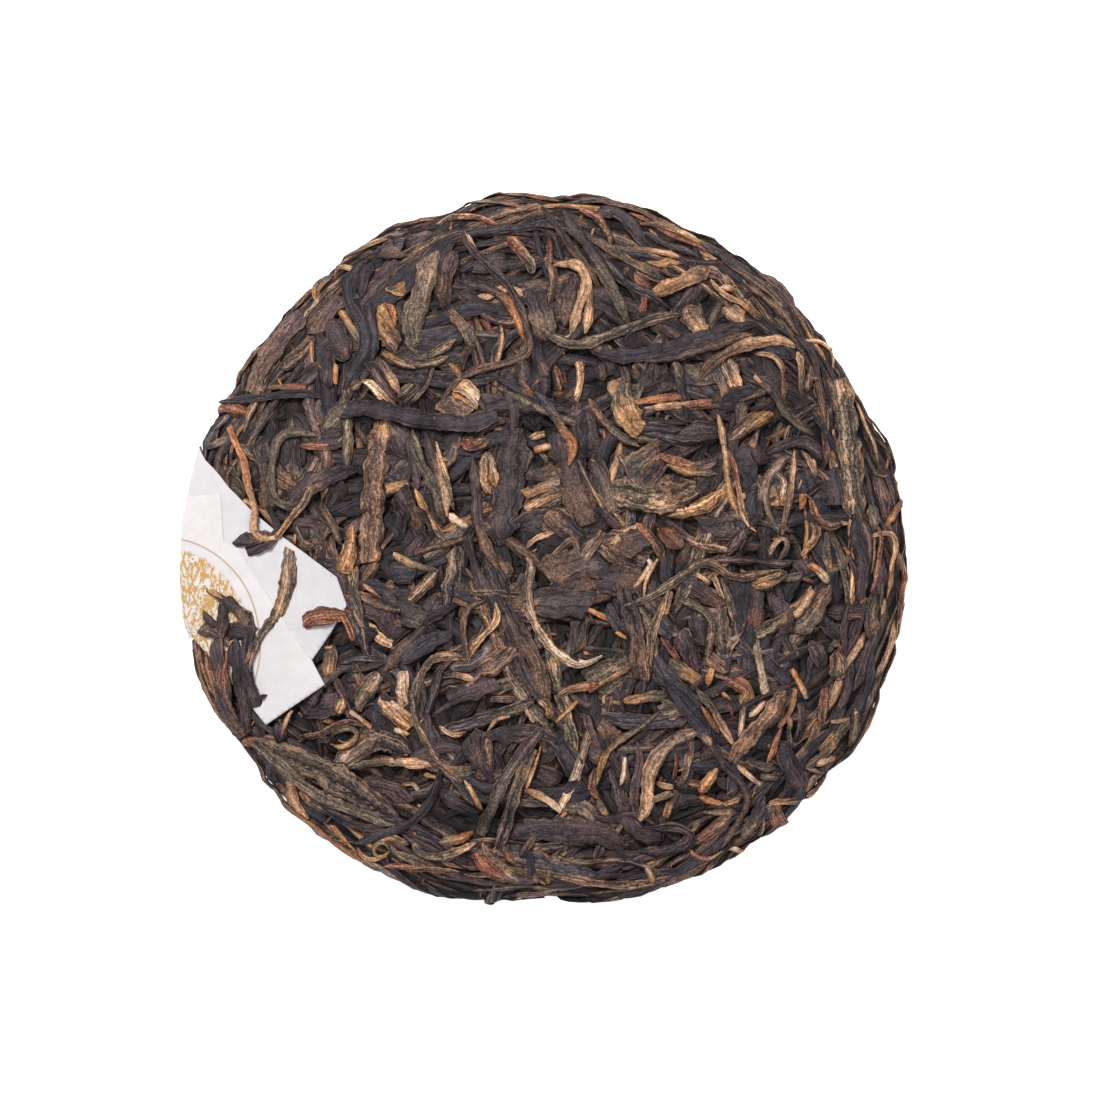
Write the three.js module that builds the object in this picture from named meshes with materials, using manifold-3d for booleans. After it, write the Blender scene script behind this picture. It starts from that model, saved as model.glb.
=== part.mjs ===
// A pressed cake of dried tea leaves, with the paper ticket that is pressed into its face.
// Millimetres, +Z up. The cake lies on its back, face up, and the origin is on the table
// under the middle of the cake. +X is to the right and +Y away from a person looking down.
import * as THREE from "three";
import { mergeVertices } from "three/addons/utils/BufferGeometryUtils.js";
import Module from "manifold-3d";

const wasm = await Module();
wasm.setup();

// The pressed form: a shallow dome over a rounded rim, and the dent of the cloth's knot below.
const CAKE_RADIUS = 98.6;
const CENTRE_HEIGHT = 23.6;
const RIM_HEIGHT = 9.5;
const FOOT_HEIGHT = 1.0;
const DOME_FULLNESS = 2.6;
const DOME_ROUNDING = 0.62;
const FOOT_FULLNESS = 9;
const FOOT_ROUNDING = 0.55;
const KNOT_RADIUS = 26;
const KNOT_DEPTH = 8.5;

// Swellings and flats of the outline: degrees round from +X, millimetres out, spread in degrees.
const OUTLINE_LOBES = [
  { at: 90, out: 0.6, spread: 9 },
  { at: 32, out: -1.4, spread: 10 },
  { at: 140, out: -1.4, spread: 10 },
  { at: 200, out: 1.4, spread: 14 },
  { at: 270, out: -2.6, spread: 7 },
  { at: 345, out: 1.5, spread: 15 },
];
const OUTLINE_DROP = 0.8;
const UNEVENNESS = 0.45;

// Where the core's rings lie, as shares of the way from its middle to its outline.
const FACE_STATIONS = [0, 0.14, 0.3, 0.46, 0.6, 0.72, 0.82, 0.9, 0.955, 0.99, 1];
const BACK_STATIONS = [0.985, 0.93, 0.83, 0.64, 0.42, 0.265, 0.2, 0.13, 0.065, 0];
const CORE_SEGMENTS = 48;

// How far a strand is sunk in the core and stands out of it, and how long its facets are.
const STRAND_SINK = 1.1;
const STRAND_RISE = 1.5;
const STRAND_STEP = 11;
const STRAND_TIP = 0.35;

const PAPER = { thick: 0.3, gap: 0.3, wrapsDownTo: 7 };
const PAPER_STACK = 2 * (PAPER.thick + PAPER.gap) + PAPER.gap;

// The two paper sheets, corner by corner. On the left they run past the rim and fold over it.
const UNDER_SHEET = [
  [-115, 29], [-96, 29], [-90, 21], [-80, 11], [-72, 4], [-53, -9.5], [-64, -30], [-85, -24], [-115, -24],
];
const TOP_SHEET = [
  [-115, 15], [-89, 15.5], [-88, 2], [-84, 1], [-60, -36.5], [-76, -47.5], [-94, -26], [-115, -13],
];

// The strands that catch the eye on the face, largest first: their width and their path.
const MAIN_STRANDS = [
  { width: 11, path: [[8, 31], [10, 18], [13, 6]] },
  { width: 11, path: [[-1, -14], [10, -18], [21, -22]] },
  { width: 9.5, path: [[-7, 33], [-8, 21], [-10, 6]] },
  { width: 9.5, path: [[1, -48], [13, -38], [25, -30]] },
  { width: 8.3, path: [[-77, -53], [-65, -59], [-51, -66], [-39, -75]] },
  { width: 7.7, path: [[1, -79], [12, -80], [23, -81]] },
  { width: 7.7, path: [[-23, -5], [-25, -14], [-27, -22]] },
  { width: 7.2, path: [[-45, 33], [-46, 22], [-48, 9], [-49, -6]] },
  { width: 7.2, path: [[-38, 18], [-32, 9], [-28, 0]] },
  { width: 7.2, path: [[-59, -58], [-48, -56], [-31, -59]] },
  { width: 6.6, path: [[-15, 1], [-11, -11], [-6, -26], [1, -42]] },
  { width: 6.6, path: [[7, 77], [5, 70], [4, 61]] },
  { width: 6.6, path: [[47, 52], [49, 48], [51, 43]] },
  { width: 6.6, path: [[48, 37], [54, 41], [59, 44]] },
  { width: 6.1, path: [[-54, 40], [-40, 37], [-26, 35], [-14, 36]] },
  { width: 6.1, path: [[14, 55], [24, 54], [43, 58], [61, 63]] },
  { width: 5.8, path: [[-29, 84], [-33, 72], [-36, 62], [-36, 54]] },
  { width: 5.5, path: [[78, 50], [80, 39], [82, 27], [85, 11]] },
  { width: 5.5, path: [[-1, -51], [-6, -59], [-14, -72], [-16, -82]] },
  { width: 5.5, path: [[-28, -43], [-17, -40], [-10, -36]] },
  { width: 5.5, path: [[-67, 66], [-74, 60], [-79, 44]] },
  { width: 5.5, path: [[16, 93], [22, 91], [29, 84]] },
  { width: 5, path: [[-48, 76], [-40, 80], [-31, 86]] },
  { width: 5, path: [[22, -10], [26, -21], [26, -33]] },
  { width: 5, path: [[20, 51], [21, 42], [24, 34]] },
  { width: 5, path: [[68, -38], [60, -48], [52, -57]] },
  { width: 4.4, path: [[62, -9], [51, -7], [40, -11], [30, -16]] },
  { width: 4.4, path: [[-24, -22], [-34, -24], [-44, -32], [-51, -41]] },
  { width: 4.1, path: [[-47, 83], [-53, 74], [-48, 60], [-56, 44]] },
  { width: 4.1, path: [[65, 24], [62, 17], [62, 9], [65, 4]] },
  { width: 4.1, path: [[31, -29], [36, -38], [43, -46], [48, -54]] },
  { width: 3.9, path: [[41, -50], [33, -54], [29, -64], [27, -74]] },
  { width: 3.9, path: [[0, -92], [15, -94], [29, -92], [53, -83]] },
  { width: 3.9, path: [[14, 53], [10, 40], [11, 33]] },
  { width: 3.6, path: [[-3, 72], [2, 60], [19, 60], [38, 65]] },
  { width: 3.6, path: [[29, 13], [40, 11], [49, 16]] },
  { width: 3.3, path: [[43, 45], [44, 50], [57, 56], [68, 57]] },
  { width: 3.3, path: [[56, 48], [63, 44], [69, 35], [76, 29]] },
  { width: 3.3, path: [[4, 95], [14, 83], [18, 71]] },
  { width: 3, path: [[-59, 30], [-73, 31], [-76, 21], [-69, 11]] },
  { width: 2.8, path: [[-23, 87], [-11, 74], [-4, 57]] },
  { width: 2.8, path: [[-21, -30], [-34, -33], [-36, -42], [-29, -59], [-18, -70]] },
  { width: 2.8, path: [[-20, 26], [-19, 15], [-15, 4]] },
  { width: 2.8, path: [[7, 91], [18, 84], [35, 75]] },
  { width: 2.5, path: [[49, 38], [50, 25], [52, 13], [57, 5]] },
];

// The strands that cross the paper. Each is rooted in the cake beyond the paper's edge.
const PAPER_STRANDS = [
  { width: 6.1, path: [[-91, -11], [-87, -22], [-86, -35], [-79, -56]] },
  { width: 3.6, path: [[-65, -19], [-58, -17], [-49, -20]] },
  { width: 2.8, path: [[-88, 37], [-80, 16], [-78, 4], [-67, 11], [-62, 20]] },
];

// The strands that fill the gaps of the face, wind round the rim and lie in the back.
const SCATTER_SEED = 20260;
const FACE_FILL = { tries: 900, most: 34, clearance: 2.2, length: 23, width: 4, within: 0.9 };
const RIM_STRANDS = { rows: 2, inARow: 13, length: 35, width: 5.4, lean: 0.16 };
const BACK_STRANDS = { inner: 40, outer: 74, rings: 2, length: 34, width: 6.4 };

/** A repeatable random number from 0 to 1 (mulberry32). */
function makeRandom(seed) {
  let state = seed >>> 0;
  return () => {
    state = (state + 0x6d2b79f5) >>> 0;
    let mixed = Math.imul(state ^ (state >>> 15), state | 1);
    mixed ^= mixed + Math.imul(mixed ^ (mixed >>> 7), mixed | 61);
    return ((mixed ^ (mixed >>> 14)) >>> 0) / 4294967296;
  };
}

/** The outline's radius in a direction. */
function outlineRadius(angle) {
  const degrees = THREE.MathUtils.radToDeg(angle);
  let radius = CAKE_RADIUS - OUTLINE_DROP * Math.sin(angle);
  for (const { at, out, spread } of OUTLINE_LOBES) {
    const away = THREE.MathUtils.euclideanModulo(degrees - at + 180, 360) - 180;
    radius += out * Math.exp(-0.5 * (away / spread) ** 2);
  }
  return radius;
}

/** Height of the core's face at a share of the way from the middle to the outline. */
function faceHeight(share) {
  const fall = Math.max(0, 1 - share ** DOME_FULLNESS) ** DOME_ROUNDING;
  return RIM_HEIGHT + (CENTRE_HEIGHT - RIM_HEIGHT) * fall;
}

/** Height of the core's back at that share, with the dent that the cloth's knot leaves. */
function backHeight(share) {
  const fall = Math.max(0, 1 - share ** FOOT_FULLNESS) ** FOOT_ROUNDING;
  const toKnotRim = Math.min(1, (share * CAKE_RADIUS) / KNOT_RADIUS);
  const dent = KNOT_DEPTH * (0.5 + 0.5 * Math.cos(Math.PI * toKnotRim));
  return RIM_HEIGHT - (RIM_HEIGHT - FOOT_HEIGHT) * fall + dent;
}

/** Gentle hills and hollows of the pressed leaf. */
function unevenness(x, y) {
  const broad = Math.sin(x * 0.113 + 1.3) * Math.cos(y * 0.131 - 0.4);
  const fine = Math.sin((x + y) * 0.207) * Math.cos((x - y) * 0.173 + 2.1);
  return UNEVENNESS * (broad + 0.6 * fine);
}

/** Turns a share of the way out into a place on the section: 0 face middle, 1 rim, 2 back middle. */
function turnAt(share, onBack) {
  const turn = (Math.asin(Math.min(1, share)) * 2) / Math.PI;
  return onBack ? 2 - turn : turn;
}

/** A point of the core's surface, by its direction and its place on the section. */
function corePoint(angle, turn) {
  const share = Math.sin((turn * Math.PI) / 2);
  const radius = share * outlineRadius(angle);
  const x = radius * Math.cos(angle);
  const y = radius * Math.sin(angle);
  if (turn > 1) return new THREE.Vector3(x, y, backHeight(share));
  const calm = Math.cos((turn * Math.PI) / 2);
  return new THREE.Vector3(x, y, faceHeight(share) + unevenness(x, y) * calm);
}

/** The outward direction of the core's surface there. */
function coreNormal(angle, turn) {
  const step = 0.01;
  const safeTurn = THREE.MathUtils.clamp(turn, 2 * step, 2 - 2 * step);
  const round = corePoint(angle + step, safeTurn).sub(corePoint(angle - step, safeTurn));
  const along = corePoint(angle, safeTurn + step).sub(corePoint(angle, safeTurn - step));
  return along.cross(round).normalize();
}

/** The address on the core of the point of the face, or of the back, at x, y. */
function addressAt(x, y, onBack = false) {
  const angle = Math.atan2(y, x);
  const share = Math.min(0.995, Math.hypot(x, y) / outlineRadius(angle));
  return { angle, turn: turnAt(share, onBack) };
}

/** Makes a closed triangle geometry a solid, whichever way its faces are wound. */
function geometryToSolid(source) {
  const bare = source.clone();
  bare.deleteAttribute("normal");
  bare.deleteAttribute("uv");
  const merged = mergeVertices(bare, 1e-4);
  const index = merged.index.array;
  const kept = [];
  for (let i = 0; i < index.length; i += 3) {
    const [a, b, c] = [index[i], index[i + 1], index[i + 2]];
    if (a !== b && b !== c && c !== a) kept.push(a, b, c);
  }
  const vertProperties = new Float32Array(merged.attributes.position.array);
  const solidOf = (triVerts) =>
    new wasm.Manifold(new wasm.Mesh({ numProp: 3, vertProperties, triVerts }));
  const solid = solidOf(new Uint32Array(kept));
  return solid.volume() > 0 ? solid : solidOf(new Uint32Array(kept).reverse());
}

/** The core grown outwards by a distance: a lathed form bent to the uneven outline. */
function grownCore(distance) {
  const turns = [
    ...FACE_STATIONS.map((share) => turnAt(share, false)),
    ...BACK_STATIONS.map((share) => turnAt(share, true)),
  ];
  const profile = turns.map((turn) => {
    const atPole = turn === 0 || turn === 2;
    return new THREE.Vector2(atPole ? 0 : Math.sin((turn * Math.PI) / 2), turn);
  });
  const lathe = new THREE.LatheGeometry(profile, CORE_SEGMENTS);
  const position = lathe.attributes.position;
  for (let i = 0; i < position.count; i++) {
    const turn = position.getY(i);
    const atPole = turn < 1e-6 || turn > 2 - 1e-6;
    const angle = atPole ? 0 : Math.atan2(position.getX(i), position.getZ(i));
    const outward = atPole ? new THREE.Vector3(0, 0, 1 - turn) : coreNormal(angle, turn);
    const point = corePoint(angle, turn).addScaledVector(outward, distance);
    position.setXYZ(i, point.x, point.y, point.z);
  }
  return geometryToSolid(lathe);
}

/** One strand: a low ridge along a row of addresses, from under the core's skin to above it. */
function strandSolid(addresses, width, lift = 0) {
  const centres = addresses.map(({ angle, turn }) => corePoint(angle, turn));
  const corners = [];
  const triangles = [];
  const last = centres.length - 1;
  centres.forEach((centre, i) => {
    const along = centres[Math.min(last, i + 1)].clone().sub(centres[Math.max(0, i - 1)]);
    const up = coreNormal(addresses[i].angle, addresses[i].turn);
    const across = up.clone().cross(along).normalize();
    const fullness = STRAND_TIP + (1 - STRAND_TIP) * Math.sqrt(Math.sin((Math.PI * i) / last));
    const half = (width * fullness) / 2;
    const rise = lift + STRAND_RISE * Math.min(1, 0.55 + width / 9) * (0.6 + 0.4 * fullness);
    const section = [
      [-half, -STRAND_SINK],
      [half, -STRAND_SINK],
      [half * 0.7, rise],
      [-half * 0.6, rise * 0.92],
    ];
    for (const [sideways, outward] of section) {
      const corner = centre.clone().addScaledVector(across, sideways).addScaledVector(up, outward);
      corners.push(corner.x, corner.y, corner.z);
    }
    for (let k = 0; i > 0 && k < 4; k++) {
      const next = (k + 1) % 4;
      const [a, b, c, d] = [4 * i - 4 + k, 4 * i - 4 + next, 4 * i + next, 4 * i + k];
      triangles.push(a, b, c, a, c, d);
    }
  });
  triangles.push(0, 2, 1, 0, 3, 2);
  triangles.push(4 * last, 4 * last + 1, 4 * last + 2, 4 * last, 4 * last + 2, 4 * last + 3);
  const geometry = new THREE.BufferGeometry();
  geometry.setAttribute("position", new THREE.Float32BufferAttribute(corners, 3));
  geometry.setIndex(triangles);
  return geometryToSolid(geometry);
}

/** Points spaced along a smooth path over the face. */
function pathPoints(path) {
  const curve = new THREE.CatmullRomCurve3(path.map(([x, y]) => new THREE.Vector3(x, y, 0)));
  const steps = Math.max(2, Math.round(curve.getLength() / STRAND_STEP));
  return curve.getSpacedPoints(steps);
}

/** Strands along drawn paths over the face. */
function drawnStrands(strands, lift = 0) {
  return strands.map(({ width, path }) => {
    const addresses = pathPoints(path).map(({ x, y }) => addressAt(x, y));
    return strandSolid(addresses, width, lift);
  });
}

/** Whether a point lies within a sheet's outline. */
function inSheet(corners, x, y) {
  let inside = false;
  corners.forEach(([ax, ay], i) => {
    const [bx, by] = corners[(i + 1) % corners.length];
    if (ay > y !== by > y && x < ((bx - ax) * (y - ay)) / (by - ay) + ax) inside = !inside;
  });
  return inside;
}

/** Strands that fill what the drawn ones leave bare, each clear of those before it. */
function fillStrands() {
  const random = makeRandom(SCATTER_SEED);
  const { tries, most, clearance, length, width, within } = FACE_FILL;
  const taken = MAIN_STRANDS.concat(PAPER_STRANDS).flatMap((strand) =>
    pathPoints(strand.path).map(({ x, y }) => ({ x, y, half: strand.width / 2 })),
  );
  const made = [];
  for (let i = 0; i < tries && made.length < most; i++) {
    const angle = 2 * Math.PI * random();
    const share = within * Math.sqrt(random());
    const inward = Math.PI * random();
    const heading = share > 0.72 ? angle + Math.PI / 2 + 0.5 * (inward - 1.57) : inward;
    const reach = (length * (0.75 + 0.5 * random())) / 2;
    const half = (width * (0.7 + 0.6 * random())) / 2;
    const radius = share * outlineRadius(angle);
    const places = [-1, -0.33, 0.33, 1].map((step) => ({
      x: radius * Math.cos(angle) + step * reach * Math.cos(heading + 0.25 * step),
      y: radius * Math.sin(angle) + step * reach * Math.sin(heading + 0.25 * step),
      half,
    }));
    const free = places.every(
      (place) =>
        !inSheet(UNDER_SHEET, place.x, place.y) &&
        !inSheet(TOP_SHEET, place.x, place.y) &&
        Math.hypot(place.x, place.y) < CAKE_RADIUS * 0.96 &&
        taken.every((t) => Math.hypot(t.x - place.x, t.y - place.y) > t.half + half + clearance),
    );
    if (!free) continue;
    taken.push(...places);
    made.push(strandSolid(places.map(({ x, y }) => addressAt(x, y)), 2 * half));
  }
  return made;
}

/** Strands wound round the rim, in rows that lean up and down a little. */
function rimStrands() {
  const random = makeRandom(SCATTER_SEED + 1);
  const { rows, inARow, length, width, lean } = RIM_STRANDS;
  const made = [];
  for (let row = 0; row < rows; row++) {
    for (let i = 0; i < inARow; i++) {
      const start = ((i + 0.5 * row + 0.4 * random()) / inARow) * 2 * Math.PI;
      const turn = 0.91 + 0.24 * row + 0.06 * (random() - 0.5);
      const slope = lean * (random() - 0.5);
      const reach = (length * (0.7 + 0.5 * random())) / CAKE_RADIUS;
      const addresses = [0, 1 / 3, 2 / 3, 1].map((step) => ({
        angle: start + reach * step,
        turn: turn + slope * step,
      }));
      made.push(strandSolid(addresses, width * (0.7 + 0.5 * random())));
    }
  }
  return made;
}

/** Strands pressed into the back, in rings round the knot's dent. */
function backStrands() {
  const random = makeRandom(SCATTER_SEED + 2);
  const { inner, outer, rings, length, width } = BACK_STRANDS;
  const made = [];
  for (let ring = 0; ring < rings; ring++) {
    const radius = inner + ((outer - inner) * ring) / (rings - 1);
    const count = Math.round((2 * Math.PI * radius) / (length * 1.05));
    for (let i = 0; i < count; i++) {
      const angle = ((i + 0.3 * random()) / count) * 2 * Math.PI;
      const heading = angle + Math.PI / 2 + 1.2 * (random() - 0.5);
      const reach = (length * (0.6 + 0.4 * random())) / 2;
      const addresses = [-1, -1 / 3, 1 / 3, 1].map((step) => {
        const x = radius * Math.cos(angle) + step * reach * Math.cos(heading);
        const y = radius * Math.sin(angle) + step * reach * Math.sin(heading);
        return addressAt(x, y, true);
      });
      made.push(strandSolid(addresses, width * (0.7 + 0.5 * random())));
    }
  }
  return made;
}

/** An upright prism over a sheet's outline, widened by a margin. */
function sheetPrism(corners, margin = 0) {
  const middleX = corners.reduce((sum, [x]) => sum + x, 0) / corners.length;
  const middleY = corners.reduce((sum, [, y]) => sum + y, 0) / corners.length;
  const outline = corners.map(([x, y]) => {
    const stretch = 1 + margin / Math.hypot(x - middleX, y - middleY);
    return new THREE.Vector2(middleX + (x - middleX) * stretch, middleY + (y - middleY) * stretch);
  });
  const prism = new THREE.ExtrudeGeometry(new THREE.Shape(outline), {
    depth: 2 * CENTRE_HEIGHT,
    bevelEnabled: false,
  });
  prism.translate(0, 0, PAPER.wrapsDownTo - margin);
  return geometryToSolid(prism);
}

/** The shell between two distances out from the core. */
function shell(low, high) {
  return grownCore(high).subtract(grownCore(low));
}

/** Everything above the table. */
function aboveTable() {
  const side = 3 * CAKE_RADIUS;
  const box = new THREE.BoxGeometry(side, side, side);
  box.translate(0, 0, side / 2);
  return geometryToSolid(box);
}

/** A solid's largest body, so that a scrap cut loose is dropped. */
function largestBody(solid) {
  return solid.decompose().reduce((best, body) => (body.volume() > best.volume() ? body : best));
}

/** The cake: core and strands in one piece, clear of the paper. */
function teaCake() {
  const paperSpace = sheetPrism(UNDER_SHEET, PAPER.gap)
    .add(sheetPrism(TOP_SHEET, PAPER.gap))
    .intersect(shell(0, PAPER_STACK));
  const strands = wasm.Manifold.union([
    ...drawnStrands(MAIN_STRANDS),
    ...drawnStrands(PAPER_STRANDS, PAPER_STACK),
    ...fillStrands(),
    ...rimStrands(),
    ...backStrands(),
  ]);
  const joined = strands.subtract(paperSpace).add(grownCore(0));
  return largestBody(joined.intersect(aboveTable()));
}

/** A paper sheet pressed onto the core, a distance out from it. */
function paperSheet(corners, distance) {
  return largestBody(sheetPrism(corners).intersect(shell(distance, distance + PAPER.thick)));
}

/** A named mesh made from a solid. */
function meshOf(solid, name, finish) {
  const { vertProperties, triVerts } = solid.getMesh();
  const geometry = new THREE.BufferGeometry();
  geometry.setAttribute("position", new THREE.Float32BufferAttribute(vertProperties, 3));
  geometry.setIndex(Array.from(triVerts));
  geometry.computeVertexNormals();
  const mesh = new THREE.Mesh(geometry, new THREE.MeshStandardMaterial(finish));
  mesh.name = name;
  return mesh;
}

const DRIED_LEAF = { color: 0x4d3d33, roughness: 0.75, metalness: 0 };
const WHITE_PAPER = { color: 0xe9e6e3, roughness: 0.9, metalness: 0 };

const cake = new THREE.Group();
cake.add(
  meshOf(teaCake(), "tea_cake", DRIED_LEAF),
  meshOf(paperSheet(UNDER_SHEET, PAPER.gap), "paper_under", WHITE_PAPER),
  meshOf(paperSheet(TOP_SHEET, 2 * PAPER.gap + PAPER.thick), "paper_ticket", WHITE_PAPER),
);

export default cake;
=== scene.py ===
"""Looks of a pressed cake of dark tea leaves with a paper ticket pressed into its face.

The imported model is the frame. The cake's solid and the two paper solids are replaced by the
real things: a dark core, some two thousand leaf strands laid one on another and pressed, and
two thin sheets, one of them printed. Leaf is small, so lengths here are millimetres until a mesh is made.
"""

from __future__ import annotations

import logging
from dataclasses import dataclass, field
from enum import Enum
from typing import Any, Callable, Sequence

import bmesh
import bpy
import numpy as np
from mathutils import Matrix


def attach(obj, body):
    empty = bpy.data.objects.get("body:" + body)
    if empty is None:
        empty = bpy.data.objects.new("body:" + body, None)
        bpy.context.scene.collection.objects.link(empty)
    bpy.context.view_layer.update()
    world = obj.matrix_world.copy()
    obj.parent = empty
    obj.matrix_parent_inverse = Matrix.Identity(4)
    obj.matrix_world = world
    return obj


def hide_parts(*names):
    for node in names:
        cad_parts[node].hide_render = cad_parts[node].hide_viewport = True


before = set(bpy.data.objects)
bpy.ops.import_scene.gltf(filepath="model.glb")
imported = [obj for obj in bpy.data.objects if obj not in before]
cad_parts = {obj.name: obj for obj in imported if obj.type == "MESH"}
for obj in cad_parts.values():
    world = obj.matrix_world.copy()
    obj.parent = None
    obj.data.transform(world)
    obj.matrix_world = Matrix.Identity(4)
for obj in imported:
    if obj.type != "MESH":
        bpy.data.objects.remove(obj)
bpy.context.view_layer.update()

LOG = logging.getLogger("tea_cake")
MM = 0.001
BODY = "root"
SEED = 357
PATH_STEP = 0.5
RIM_REACH = 84.0

Points = np.ndarray
Colour = tuple[float, float, float]


def linear(srgb: Sequence[float]) -> Colour:
    """Turns a display colour into the linear one that shaders use.

    Args:
        srgb: Red, green and blue from 0 to 255.

    Returns:
        The same colour in linear light, from 0 to 1.
    """
    share = np.asarray(srgb, float) / 255
    low = share / 12.92
    high = ((share + 0.055) / 1.055) ** 2.4
    return tuple(float(v) for v in np.where(share <= 0.04045, low, high))


def smooth_step(low: float, high: float, value: Points) -> Points:
    """Eases from 0 at low to 1 at high.

    Args:
        low: Where the result is still 0.
        high: Where the result reaches 1.
        value: The numbers to ease.

    Returns:
        Numbers from 0 to 1.
    """
    share = np.clip((value - low) / (high - low), 0, 1)
    return share * share * (3 - 2 * share)


def waves(chart: Points, scale: float, seed: int) -> Points:
    """A smooth random field, made of a few crossing waves.

    Args:
        chart: One place or rows of places, by X and Y.
        scale: Rough size of the field's patches, in the same unit.
        seed: Chooses the field.

    Returns:
        Numbers from about -1 to 1.
    """
    rng = np.random.default_rng(seed)
    x, y = chart[..., 0], chart[..., 1]
    total = np.zeros(x.shape)
    count = 6
    for _ in range(count):
        heading = rng.uniform(0, 2 * np.pi)
        rate = 2 * np.pi / (scale * rng.uniform(0.7, 1.6))
        phase = rng.uniform(0, 2 * np.pi)
        total += np.sin(rate * (x * np.cos(heading) + y * np.sin(heading)) + phase)
    return total / np.sqrt(2 * count)


def polar(rows: Points) -> tuple[Points, Points]:
    """Lengths and directions of rows of x and y."""
    return np.hypot(rows[:, 0], rows[:, 1]), np.arctan2(rows[:, 1], rows[:, 0])


def leftward(path: Points) -> Points:
    """Finds what lies to the left of a path, row by row.

    Args:
        path: Rows of x and y.

    Returns:
        Unit directions.
    """
    along = np.gradient(path, axis=0)
    along /= np.linalg.norm(along, axis=1, keepdims=True) + 1e-9
    return np.stack([-along[:, 1], along[:, 0]], 1)


def bell(half: int) -> Points:
    """Weights of a bell curve out to twice its spread, one in sum."""
    weights = np.exp(-0.5 * (np.arange(-2 * half, 2 * half + 1) / half) ** 2)
    return weights / weights.sum()


class Side(Enum):
    """The two sides of the cake that leaves are laid on."""

    FACE = "face"
    BACK = "back"


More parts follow.
